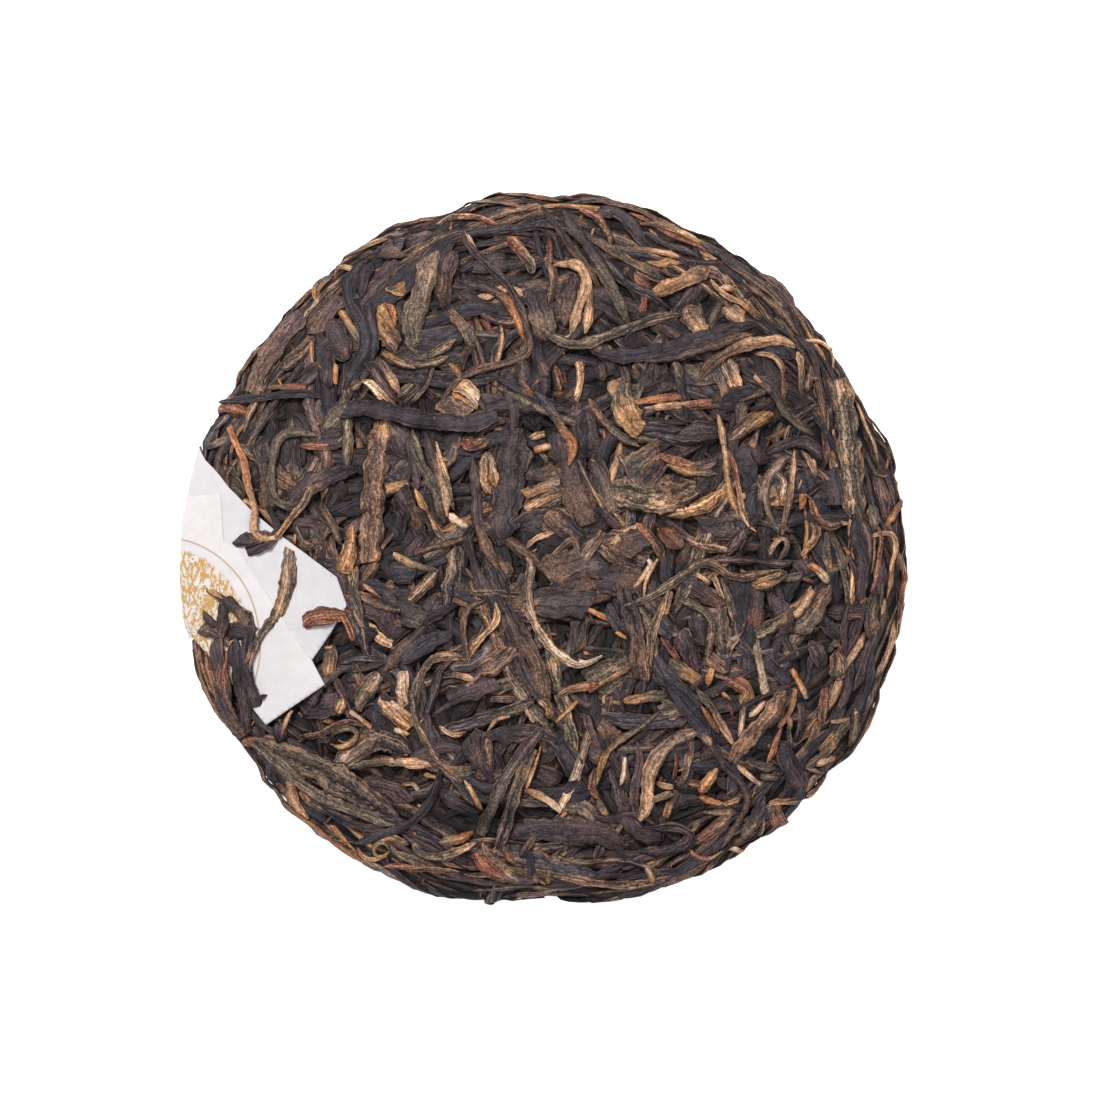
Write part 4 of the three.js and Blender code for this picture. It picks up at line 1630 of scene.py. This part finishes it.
def seen_strands(rows: str, form: PressedForm, eye: Eye, seed: int, dip: float = 0.6) -> list[Strand]:
    """Turns drawn strands into strands on the chart.

    Args:
        rows: A line for each strand: the kind's first letter, width, tones and path.
        form: The cake's form.
        eye: The camera that sees the paths.
        seed: Chooses their small irregularities.
        dip: How far their ends sink.

    Returns:
        The strands, not yet laid.
    """
    kinds = {kind.name[0]: kind for kind in Kind}
    made = []
    for number, row in enumerate(rows.strip().splitlines()):
        letter, width, tones, *places = row.split()
        picture = np.array([[float(v) for v in place.split(",")] for place in places])
        line = resample(smooth_line(eye.on_level(picture)))
        chart = resample(form.chart_of_seen(line, eye))
        first, last = (tones.split("-") * 2)[:2]
        colour = tuple(np.array(linear(Tone[name.upper()].value)) for name in (first, last))
        made.append(Strand(chart, float(width) * eye.unit, kinds[letter], colour, seed + number, dip=dip))
    return made


def new_object(name: str, data: bpy.types.ID) -> bpy.types.Object:
    """Links an object into the scene.

    Args:
        name: Its name.
        data: Its mesh, light or camera.

    Returns:
        The object.
    """
    made = bpy.data.objects.new(name, data)
    bpy.context.scene.collection.objects.link(made)
    return made


def evaluated(made: bpy.types.Object) -> bpy.types.Mesh:
    """An object's mesh as its modifiers leave it."""
    graph = bpy.context.evaluated_depsgraph_get()
    return bpy.data.meshes.new_from_object(made.evaluated_get(graph))


def shade_smooth(mesh: bpy.types.Mesh) -> None:
    """Makes every face of a mesh smooth."""
    mesh.polygons.foreach_set("use_smooth", np.ones(len(mesh.polygons), bool))


@dataclass
class StrandSweep:
    """Sweeps a ridged leaf section along strand paths with a Geometry Nodes tree.

    Attributes:
        form: The cake's form.
        sides: Corners round a section.
        spacing: Distance between sections.
        crown: Height over which strands are pressed down the more.
    """

    form: PressedForm
    sides: int = 10
    spacing: float = 1.5
    crown: float = 24.5

    def path_mesh(self, strands: Sequence[Strand], side: Side) -> bpy.types.Mesh:
        """Lays out the strands' middle lines with what the tree reads.

        Args:
            strands: Laid and pressed strands.
            side: The side that they lie on.

        Returns:
            A mesh of edges with attributes on its points.
        """
        columns: dict[str, list[Points]] = {}
        edges = []
        start = 0
        for strand in strands:
            count = max(5, int(round(len(strand.path) * PATH_STEP / self.spacing)) + 1)
            rows = np.linspace(0, len(strand.path) - 1, count).round().astype(int)
            base, up = self.form.place(strand.path[rows], side)
            centre = base + up * strand.height[rows, None]
            along = np.gradient(centre, axis=0)
            across = np.cross(up, along)
            across /= np.linalg.norm(across, axis=1, keepdims=True) + 1e-9
            cut = strand.kind.value
            rng = np.random.default_rng(strand.seed + 7)
            share = np.linspace(0, 1, count)
            run = rows * PATH_STEP
            spiral = cut.spiral * rng.normal(0.6, 0.8)
            tilt = rng.uniform(0, 2 * np.pi)
            light = strand.colour[0] @ [0.21, 0.72, 0.07]
            # Strength of the golden patches and of the painted highlight on crests and edges, less on
            # dark leaf.
            gild_and_highlight = cut.gild_and_highlight * rng.uniform(0.4, 1.2) * max(0.14, smooth_step(0.04, 0.1, light))
            if strand.dip > 1.3:
                gild_and_highlight = cut.gild_and_highlight * rng.uniform(0.5, 1.0)
            cup = cut.cup * rng.normal(0, 1.0)
            half = strand.widths()[rows]
            thick = strand.flatness() * rng.uniform(0.75, 1.25)
            chance = rng.uniform(0, 900)
            tip_over = 0.24 if strand.kind in (Kind.FLAT, Kind.PLATE) else 0.14
            roll = rng.normal(0, tip_over) + rng.normal(0, 0.1) * np.sin(run / rng.uniform(3, 7))
            if strand.dip == 0:
                roll = roll * 0
            slant = rng.normal(0, 0.5) * smooth_step(0.3, 0, share)
            slant = slant + rng.normal(0, 0.5) * smooth_step(0.7, 1, share)
            plain = 0.8 if light < 0.045 else 1.0
            coarse = cut.coarse * plain * rng.uniform(0.6, 1.2)
            first, last = strand.colour
            ease = smooth_step(0.25, 0.8, share)[:, None]
            tone = first * (1 - ease) + last * ease
            kept = {
                "centre": centre.T, "up": up.T, "across": across.T, "size": (half, half * thick, cup),
                "run": (run, tilt + spiral * run, chance), "mark": (cut.lobes, gild_and_highlight, strand.sunk[rows]),
                "build": (cut.box, cut.groove, roll), "cut": (slant, coarse, 0), "tone": (*tone.T, 1),
            }
            for name, values in kept.items():
                spread = [np.broadcast_to(value, count) for value in values]
                columns.setdefault(name, []).append(np.stack(spread, 1))
            links = np.arange(start, start + count - 1)
            edges.append(np.stack([links, links + 1], 1))
            start += count
        mesh = bpy.data.meshes.new("paths")
        mesh.vertices.add(start)
        mesh.vertices.foreach_set("co", (np.concatenate(columns["centre"]) * MM).ravel())
        joined = np.concatenate(edges)
        mesh.edges.add(len(joined))
        mesh.edges.foreach_set("vertices", joined.ravel())
        for name, rows_of in columns.items():
            data_type, key = ("FLOAT_COLOR", "color") if name == "tone" else ("FLOAT_VECTOR", "vector")
            values = np.concatenate(rows_of)
            attribute = mesh.attributes.new(name, data_type, "POINT")
            attribute.data.foreach_set(key, values.astype(np.float32).ravel())
        mesh.update()
        return mesh

    def tree(self) -> bpy.types.NodeTree:
        """Makes the sweeping tree.

        Returns:
            A tree with inputs for the paths, the sides, the strength of the creases and the material.
        """
        tree = bpy.data.node_groups.new("sweep_strands", "GeometryNodeTree")
        sockets = {"Paths": "Geometry", "Sides": "Int", "Wrinkle": "Float", "Material": "Material"}
        for name, kind in sockets.items():
            tree.interface.new_socket(name, in_out="INPUT", socket_type="NodeSocket" + kind)
        tree.interface.new_socket("Strands", in_out="OUTPUT", socket_type="NodeSocketGeometry")
        loom = Loom(tree)
        given = loom.node("NodeGroupInput")
        result = loom.node("NodeGroupOutput")

        def read(name: str, data_type: str = "FLOAT_VECTOR") -> Wire:
            """A named attribute of the points."""
            return loom.wire("GeometryNodeInputNamedAttribute", {"data_type": data_type}, name)

        def store(geometry: Wire, name: str, value: Any, data_type: str) -> Wire:
            """Keeps a value on the points.

            Args:
                geometry: What holds the points.
                name: The value's name.
                value: The value.
                data_type: Its type.

            Returns:
                The geometry with the value.
            """
            settings = {"data_type": data_type, "domain": "POINT"}
            return loom.wire(
                "GeometryNodeStoreNamedAttribute", settings, Geometry=geometry, Name=name, Value=value
            )

        line = loom.wire("GeometryNodeMeshToCurve", Mesh=given.outputs["Paths"])
        ring = loom.wire("GeometryNodeCurvePrimitiveCircle", Resolution=given.outputs["Sides"], Radius=MM)
        marked = store(ring, "around", loom.wire("GeometryNodeSplineParameter"), "FLOAT")
        swept = loom.wire("GeometryNodeCurveToMesh", Curve=line, Profile_Curve=marked, Fill_Caps=True)
        angle = read("around", "FLOAT") * (2 * np.pi) - np.pi / 2
        half, depth, cup = loom.parts(read("size"))
        along, twist, chance = loom.parts(read("run"))
        lobes, gild_and_highlight, sunk = loom.parts(read("mark"))
        box, groove, roll = loom.parts(read("build"))
        slant, coarse, _ = loom.parts(read("cut"))
        side = angle.cos()
        rise = angle.sin()
        phase = angle * lobes + twist
        ridge = (phase * 0.5).sin().abs() * 2.0 - 1.2
        offset = loom.joined(chance, chance * 0.37, chance * 0.71)
        spot = loom.vector("ADD", loom.joined(side * half, rise * half, along * 0.55), offset)
        crease = loom.noise(spot, 0.55, 2, 0.5) - 0.5
        nick = loom.noise(spot, 1.5, 1, 0.5) - 0.5
        wrinkle = Wire(loom, given.outputs["Wrinkle"])
        swell = 1.0 + ridge * groove + crease * wrinkle
        out = side * half * (1.0 + crease * wrinkle + nick * wrinkle * 1.3)
        shoulder = 1.0 + side * side * box
        bow = side * side * cup + side * roll + crease * wrinkle * 0.4
        lift = rise * depth * swell * shoulder + bow * half
        sideways = loom.vector("SCALE", read("across"), out)
        upwards = loom.vector("SCALE", read("up"), lift)
        ahead = loom.vector("CROSS_PRODUCT", read("across"), read("up"))
        onwards = loom.vector("SCALE", ahead, side * half * slant * (1.0 + crease * 2.0))
        move = loom.vector("ADD", loom.vector("ADD", read("centre"), sideways), upwards)
        move = loom.vector("ADD", move, onwards)
        move = loom.vector("SCALE", move, MM)
        placed = loom.wire("GeometryNodeSetPosition", Geometry=swept, Position=move)
        spun = angle + twist * 0.6
        fibre = loom.vector("ADD", loom.joined(spun.cos() * half, spun.sin() * half, along), offset)
        look = loom.joined(phase, gild_and_highlight, sunk)
        lie = loom.joined(side, rise, coarse)
        for name, value in (("grain", fibre), ("look", look), ("lie", lie)):
            placed = store(placed, name, value, "FLOAT_VECTOR")
        realized = loom.wire("GeometryNodeRealizeInstances", Geometry=placed)
        dressed = loom.wire(
            "GeometryNodeSetMaterial", Geometry=realized, Material=given.outputs["Material"]
        )
        loom.feed(result.inputs["Strands"], dressed)
        return tree

    def sweep(
        self, name: str, strands: Sequence[Strand], side: Side, material: bpy.types.Material,
        wrinkle: float = 0.35,
    ) -> bpy.types.Object:
        """Makes one piece of many strands.

        Args:
            name: The piece's name.
            strands: Laid and pressed strands.
            side: The side that they lie on.
            material: Their finish.
            wrinkle: Strength of the creases.

        Returns:
            The piece, a plain mesh.
        """
        source = new_object(name + "_paths", self.path_mesh(strands, side))
        tree = self.tree()
        modifier = source.modifiers.new("sweep", "NODES")
        modifier.node_group = tree
        given = {
            item.name: item.identifier
            for item in tree.interface.items_tree
            if item.item_type == "SOCKET" and item.in_out == "INPUT"
        }
        modifier[given["Sides"]] = self.sides
        modifier[given["Wrinkle"]] = wrinkle
        modifier[given["Material"]] = material
        mesh = evaluated(source)
        source.modifiers.remove(modifier)
        bpy.data.objects.remove(source)
        bpy.data.node_groups.remove(tree)
        mesh.name = name
        shade_smooth(mesh)
        heights = np.zeros(len(mesh.vertices) * 3)
        mesh.vertices.foreach_get("co", heights)
        above = heights[2::3] - self.crown * MM
        heights[2::3] = np.clip(np.where(above > 0, self.crown * MM + 0.25 * above, heights[2::3]), 0, 1)
        mesh.vertices.foreach_set("co", heights)
        for extra in ("centre", "up", "across", "size", "run", "mark", "build", "cut", "around"):
            held = mesh.attributes.get(extra)
            if held is not None:
                mesh.attributes.remove(held)
        return new_object(name, mesh)


@dataclass
class CakeCore:
    """The packed leaf under the strands, coloured near black as painted shade in the gaps: the pressed
    form, drawn in and roughened.

    Attributes:
        form: The cake's form.
        round_steps: Steps round the cake.
        rings: Steps over the section.
        face_share: Share of the section that the face's chart serves.
    """

    form: PressedForm
    round_steps: int = 168
    rings: int = 96
    face_share: float = 0.56

    def build(self) -> bpy.types.Object:
        """Makes the core.

        Returns:
            The piece, a closed mesh.
        """
        turns, lengths = self.form.section()
        stations = np.linspace(0, lengths[-1], self.rings + 1)
        angles = np.linspace(0, 2 * np.pi, self.round_steps, endpoint=False)
        middle = lengths[-1] * self.face_share
        rows = [
            self.ring(at, angles if 0 < at < lengths[-1] else np.zeros(1), middle, lengths[-1])
            for at in stations
        ]
        corners = np.concatenate(rows) * MM
        last = len(corners) - 1
        count = self.round_steps
        pairs = [(i, (i + 1) % count) for i in range(count)]
        faces = [(0, 1 + i, 1 + j) for i, j in pairs]
        for low in range(1, last - count, count):
            faces += [(low + i, low + count + i, low + count + j, low + j) for i, j in pairs]
        faces += [(last - count + i, last, last - count + j) for i, j in pairs]
        mesh = bpy.data.meshes.new("cake_core")
        mesh.from_pydata(corners.tolist(), [], faces)
        mesh.validate()
        shade_smooth(mesh)
        mesh.materials.append(DuffAndShadeFinish().make())
        return new_object("cake_core", mesh)

    def ring(self, station: float, angles: Points, middle: float, whole: float) -> Points:
        """One ring of the core.

        Args:
            station: Length over the surface from the face's middle.
            angles: Directions of the ring's corners.
            middle: Length at which the back's chart takes over.
            whole: Length from the face's middle to the back's.

        Returns:
            Rows of x, y and z.
        """
        side = Side.FACE if station < middle else Side.BACK
        reach = station if side is Side.FACE else whole - station
        chart = reach * np.stack([np.cos(angles), np.sin(angles)], 1)
        place, up = self.form.place(chart, side)
        rough = 0.35 * waves(chart, 7.0, 31) + 0.25 * waves(chart, 3.0, 32)
        return place - up * (self.form.core_inset(reach) - rough[:, None])


@dataclass
class PaperSheet:
    """A thin sheet pressed onto the leaf and folded over the rim.

    Attributes:
        name: The piece's name.
        corners: Its outline, as the camera sees it, past the rim on the left.
        level: Height of its underside over the form.
        finish: Its finish.
        thickness: The sheet's thickness.
        pitch: Size of its facets.
    """

    name: str
    corners: tuple[tuple[float, float], ...]
    level: float
    finish: PaperFinish
    thickness: float = 0.16
    pitch: float = 1.1

    def outline(self, form: PressedForm, eye: Eye) -> Points:
        """The outline on the face's chart.

        Args:
            form: The cake's form.
            eye: The camera.

        Returns:
            Rows of X and Y. Corners past the rim keep their distance from it.
        """
        seen = np.array(self.corners, float)
        reach, angle = polar(seen)
        rim = form.outline(angle)
        past = np.maximum(reach - rim * 0.995, 0)
        inside = seen * np.minimum(1, rim * 0.995 / reach)[:, None]
        chart = form.chart_of_seen(inside, eye)
        length = polar(chart)[0]
        return chart * ((length + past) / length)[:, None]

    def build(self, form: PressedForm, eye: Eye) -> bpy.types.Object:
        """Makes the sheet.

        Args:
            form: The cake's form.
            eye: The camera.

        Returns:
            The piece, a closed mesh.
        """
        outline = self.outline(form, eye)
        bm = bmesh.new()
        bm.faces.new([bm.verts.new((x, y, 0)) for x, y in outline])
        for low, high, normal in zip(outline.min(0), outline.max(0), np.eye(3)):
            for cut in np.arange(low + self.pitch, high, self.pitch):
                geometry = bm.verts[:] + bm.edges[:] + bm.faces[:]
                bmesh.ops.bisect_plane(bm, geom=geometry, plane_co=normal * cut, plane_no=normal)
        bmesh.ops.triangulate(bm, faces=bm.faces[:])
        if sum(face.normal.z for face in bm.faces) < 0:
            bmesh.ops.reverse_faces(bm, faces=bm.faces[:])
        mesh = bpy.data.meshes.new(self.name)
        bm.to_mesh(mesh)
        bm.free()
        chart = np.zeros(len(mesh.vertices) * 3)
        mesh.vertices.foreach_get("co", chart)
        chart = chart.reshape(-1, 3)[:, :2]
        place, up = form.place(chart, Side.FACE)
        sway = 0.16 * waves(chart, 24.0, 77) + 0.05 * waves(chart, 9.0, 78)
        lifted = place + up * (self.level + sway + 0.15)[:, None]
        mesh.vertices.foreach_set("co", (lifted * MM).astype(np.float32).ravel())
        lay = mesh.attributes.new("lay", "FLOAT_VECTOR", "POINT")
        lay.data.foreach_set("vector", np.pad(chart, ((0, 0), (0, 1))).astype(np.float32).ravel())
        mesh.update()
        shade_smooth(mesh)
        made = new_object(self.name, mesh)
        solid = made.modifiers.new("sheet", "SOLIDIFY")
        solid.thickness = self.thickness * MM
        solid.offset = 1.0
        closed = evaluated(made)
        made.modifiers.clear()
        made.data = closed
        closed.name = self.name
        closed.materials.append(self.finish.make())
        return made


@dataclass
class Ticket:
    """The two paper sheets at the left rim, and the cells of a leaf bed that they cover."""

    under_corners: tuple[tuple[float, float], ...] = (
        (-108, 21), (-95.4, 29.6), (-92.7, 25), (-90.8, 23), (-88.9, 20.8), (-86.7, 17.8), (-84.5, 15.6),
        (-80, 10.9), (-71.8, 4), (-56.9, -7), (-54.2, -14.8), (-58.5, -22), (-63.8, -29.9), (-85, -24),
        (-112, -24),
    )
    front_corners: tuple[tuple[float, float], ...] = (
        (-110, 15), (-95.2, 15.3), (-88.6, 16), (-87.8, 2.5), (-84, 1.2), (-82, -2.2), (-63.8, -29.9),
        (-60.2, -36.6), (-76.2, -47.6), (-82.2, -40.2), (-93.6, -26.4), (-97.7, -21.4), (-110, -16),
    )
    under_level: float = 0.85
    front_level: float = 1.15

    def sheets(self) -> tuple[PaperSheet, PaperSheet]:
        """Describes the two sheets.

        Returns:
            The lower sheet and the one on top of it.
        """
        cool = PaperFinish("cool_paper", linear((216, 213, 212)), printed=False)
        warm = PaperFinish("warm_paper", linear((225, 221, 218)), printed=True)
        return (
            PaperSheet("sheet_under", self.under_corners, self.under_level, cool),
            PaperSheet("sheet_ticket", self.front_corners, self.front_level, warm),
        )

    def inside(self, bed: LeafBed, form: PressedForm, eye: Eye) -> Points:
        """Marks the cells that paper covers.

        Args:
            bed: The map.
            form: The cake's form.
            eye: The camera.

        Returns:
            True for each covered cell.
        """
        x, y = bed.centres()
        covered = np.zeros(x.shape, bool)
        for sheet in self.sheets():
            outline = sheet.outline(form, eye)
            crossed = np.zeros(x.shape, bool)
            for (ax, ay), (bx, by) in zip(outline, np.roll(outline, -1, axis=0)):
                level = (ay > y) != (by > y)
                slope = (bx - ax) * (y - ay) / (by - ay + 1e-12) + ax
                crossed ^= level & (x < slope)
            covered |= crossed
        for axis in (0, 1):
            covered |= np.roll(covered, 1, axis) | np.roll(covered, -1, axis)
        return covered


@dataclass
class LeafCover:
    """All the leaf strands of the cake, in one piece for each kind.

    Attributes:
        form: The cake's form.
        eye: The camera.
        ticket: The paper, which keeps leaf under it.
        face_count: Strands drawn for the face.
        rim_count: Strands drawn for the rim.
        back_count: Strands drawn for the back.
        crumb_count: Crumbs drawn for the depth of the face; half as many lie on top.
        least_shown: Cells that must show of a strand of the face, a crumb and a strand of the back.
        rim_from: Distance from the middle at which a strand counts as the rim's.
    """

    form: PressedForm
    eye: Eye
    ticket: Ticket
    face_count: int = 760
    rim_count: int = 480
    back_count: int = 620
    crumb_count: int = 300
    least_shown: tuple[int, int, int] = (20, 3, 20)
    rim_from: float = 90.0

    def face(self) -> dict[str, list[Strand]]:
        """Draws, lays and presses the strands of the face and rim.

        Returns:
            The strands that show, by group.
        """
        scatter = Scatter(self.form, SEED)
        bed = LeafBed(118.0)
        filler = scatter.cover(self.face_count, 0.0, 92.0, Side.FACE)
        rim = scatter.cover(self.rim_count, 86.0, 113.0, Side.FACE)
        mixed = filler + rim
        scatter.rng.shuffle(mixed)
        deep = scatter.crumbs(self.crumb_count, 108.0)
        seen = seen_strands(SEEN_STRANDS, self.form, self.eye, SEED * 100)
        loose = scatter.crumbs(self.crumb_count // 2, 106.0)
        stages = [("", mixed), ("crumbs", deep), ("seen", seen), ("crumbs", loose)]
        everything = [strand for _, drawn in stages for strand in drawn]
        labels = [label for label, drawn in stages for _ in drawn]
        for number, (strand, label) in enumerate(zip(everything, labels)):
            seen_one = label == "seen"
            bed.lay(strand, number, bend=1.5 if seen_one else 4.0, on_top=seen_one)
        covered = self.ticket.inside(bed, self.form, self.eye)
        ceiling = np.where(covered, self.ticket.under_level - 0.6, 9.0)
        bed.owner[covered] = -2
        Press().squeeze(everything, bed, self.form, ceiling)
        shown = np.bincount(bed.owner[bed.owner >= 0], minlength=len(everything))
        groups: dict[str, list[Strand]] = {"paper": self.over_paper()}
        for number, (strand, label) in enumerate(zip(everything, labels)):
            if shown[number] < self.least_shown[1 if label == "crumbs" else 0]:
                continue
            if not label:
                middle = np.hypot(*strand.path[len(strand.path) // 2])
                broad = strand.kind in (Kind.FLAT, Kind.PLATE)
                label = "twists" if strand.kind is Kind.TWIST else "flats" if broad else "slim"
                label = "rim" if middle > self.rim_from else label
            groups.setdefault(label, []).append(strand)
        return groups

    def over_paper(self) -> list[Strand]:
        """The strands that lie on the paper.

        Returns:
            The strands, laid on the upper sheet.
        """
        bed = LeafBed(118.0)
        bed.height[:] = self.ticket.front_level + 0.3
        made = seen_strands(PAPER_STRANDS, self.form, self.eye, SEED * 200)
        for number, strand in enumerate(made):
            bed.lay(strand, number)
            strand.sunk = np.zeros(len(strand.path))
        return made

    def back(self) -> list[Strand]:
        """Draws, lays and presses the strands of the back.

        Returns:
            The strands that show.
        """
        scatter = Scatter(self.form, SEED + 1)
        bed = LeafBed(108.0)
        drawn = scatter.cover(self.back_count, 0.0, 96.0, Side.BACK)
        for number, strand in enumerate(drawn):
            bed.lay(strand, number)
        Press(level=0.1, give=0.35, rise=0.8).squeeze(drawn, bed, self.form)
        shown = np.bincount(bed.owner[bed.owner >= 0], minlength=len(drawn))
        return [strand for number, strand in enumerate(drawn) if shown[number] >= self.least_shown[2]]

    def build(self) -> list[bpy.types.Object]:
        """Makes every piece of leaf.

        Returns:
            The pieces.
        """
        leaf = LeafFinish("dried_leaf").make()
        groups = self.face()
        fine = StrandSweep(self.form, sides=12, spacing=1.0)
        plain = StrandSweep(self.form, sides=9, spacing=1.7)
        crumb = StrandSweep(self.form, sides=6, spacing=0.9)
        coarse = StrandSweep(self.form, sides=8, spacing=2.2)
        pieces = [
            ("strands_seen", "seen", fine), ("strands_on_paper", "paper", fine),
            ("strands_twisted", "twists", plain), ("strands_flat", "flats", plain),
            ("strands_slim", "slim", plain), ("strands_rim", "rim", plain),
            ("leaf_crumbs", "crumbs", crumb),
        ]
        made = [sweep.sweep(name, groups[group], Side.FACE, leaf) for name, group, sweep in pieces]
        return [*made, coarse.sweep("strands_back", self.back(), Side.BACK, leaf)]


@dataclass
class Studio:
    """A white table, a large soft light and the camera above.

    Attributes:
        eye: The camera.
        rim_height: Level at which the photograph's scale holds.
    """

    eye: Eye
    rim_height: float

    def build(self) -> None:
        """Makes the table, the lights and the camera."""
        mesh = bpy.data.meshes.new("table")
        mesh.from_pydata([(-3, -3, 0), (3, -3, 0), (3, 3, 0), (-3, 3, 0)], [], [(0, 1, 2, 3)])
        white = {"Base_Color": (0.93, 0.93, 0.93, 1), "Roughness": 0.9}
        glow = {"Emission_Color": (1, 1, 1, 1), "Emission_Strength": 0.8}
        mesh.materials.append(Finish("white_table").start(**white, **glow)[0])
        new_object("table", mesh)
        world = bpy.data.worlds.new("soft_room")
        world.use_nodes = True
        sky = world.node_tree.nodes["Background"]
        sky.inputs[0].default_value = (0.91, 0.93, 1.18, 1)
        sky.inputs[1].default_value = 0.24
        bpy.context.scene.world = world
        self.light("key", (-0.32, 0.48, 1.0), 0.35, 11.5)
        self.light("fill", (0.35, -0.1, 1.1), 0.8, 3.5)
        lens = bpy.data.cameras.new("camera")
        lens.lens = self.eye.lens
        lens.sensor_width = self.eye.sensor
        camera = new_object("camera", lens)
        height = (self.rim_height + self.eye.distance) * MM
        camera.location = (self.eye.x * MM, self.eye.y * MM, height)
        bpy.context.scene.camera = camera
        bpy.context.scene.view_settings.view_transform = "Standard"

    @staticmethod
    def light(name: str, place: tuple[float, float, float], size: float, power: float) -> None:
        """Adds a square soft light that faces the cake.

        Args:
            name: Its name.
            place: Where it hangs, in metres.
            size: Length of its side, in metres.
            power: Its power, in watts.
        """
        lamp = bpy.data.lights.new(name, "AREA")
        lamp.size = size
        lamp.energy = power
        lamp.color = (1.0, 0.98, 0.95)
        made = new_object(name, lamp)
        made.location = place
        made.rotation_euler = (-made.location).to_track_quat("-Z", "Y").to_euler()


def ride(piece: bpy.types.Object, node: str) -> None:
    """Ties a piece to the frame and reports it.

    Args:
        piece: The finished piece.
        node: The solid that it stands for.
    """
    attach(piece, BODY)
    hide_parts(node)
    triangles = sum(len(face.vertices) - 2 for face in piece.data.polygons)
    LOG.info("%s: %d triangles", piece.name, triangles)


def main() -> None:
    """Builds the cake, its paper and the studio, in that order."""
    logging.basicConfig(level=logging.INFO, format="%(name)s %(message)s")
    form = PressedForm()
    eye = Eye()
    ticket = Ticket()
    ride(CakeCore(form).build(), "tea_cake")
    for piece in LeafCover(form, eye, ticket).build():
        ride(piece, "tea_cake")
    under, front = ticket.sheets()
    ride(under.build(form, eye), "paper_under")
    ride(front.build(form, eye), "paper_ticket")
    Studio(eye, form.rim_height).build()


if __name__ == "__main__":
    main()
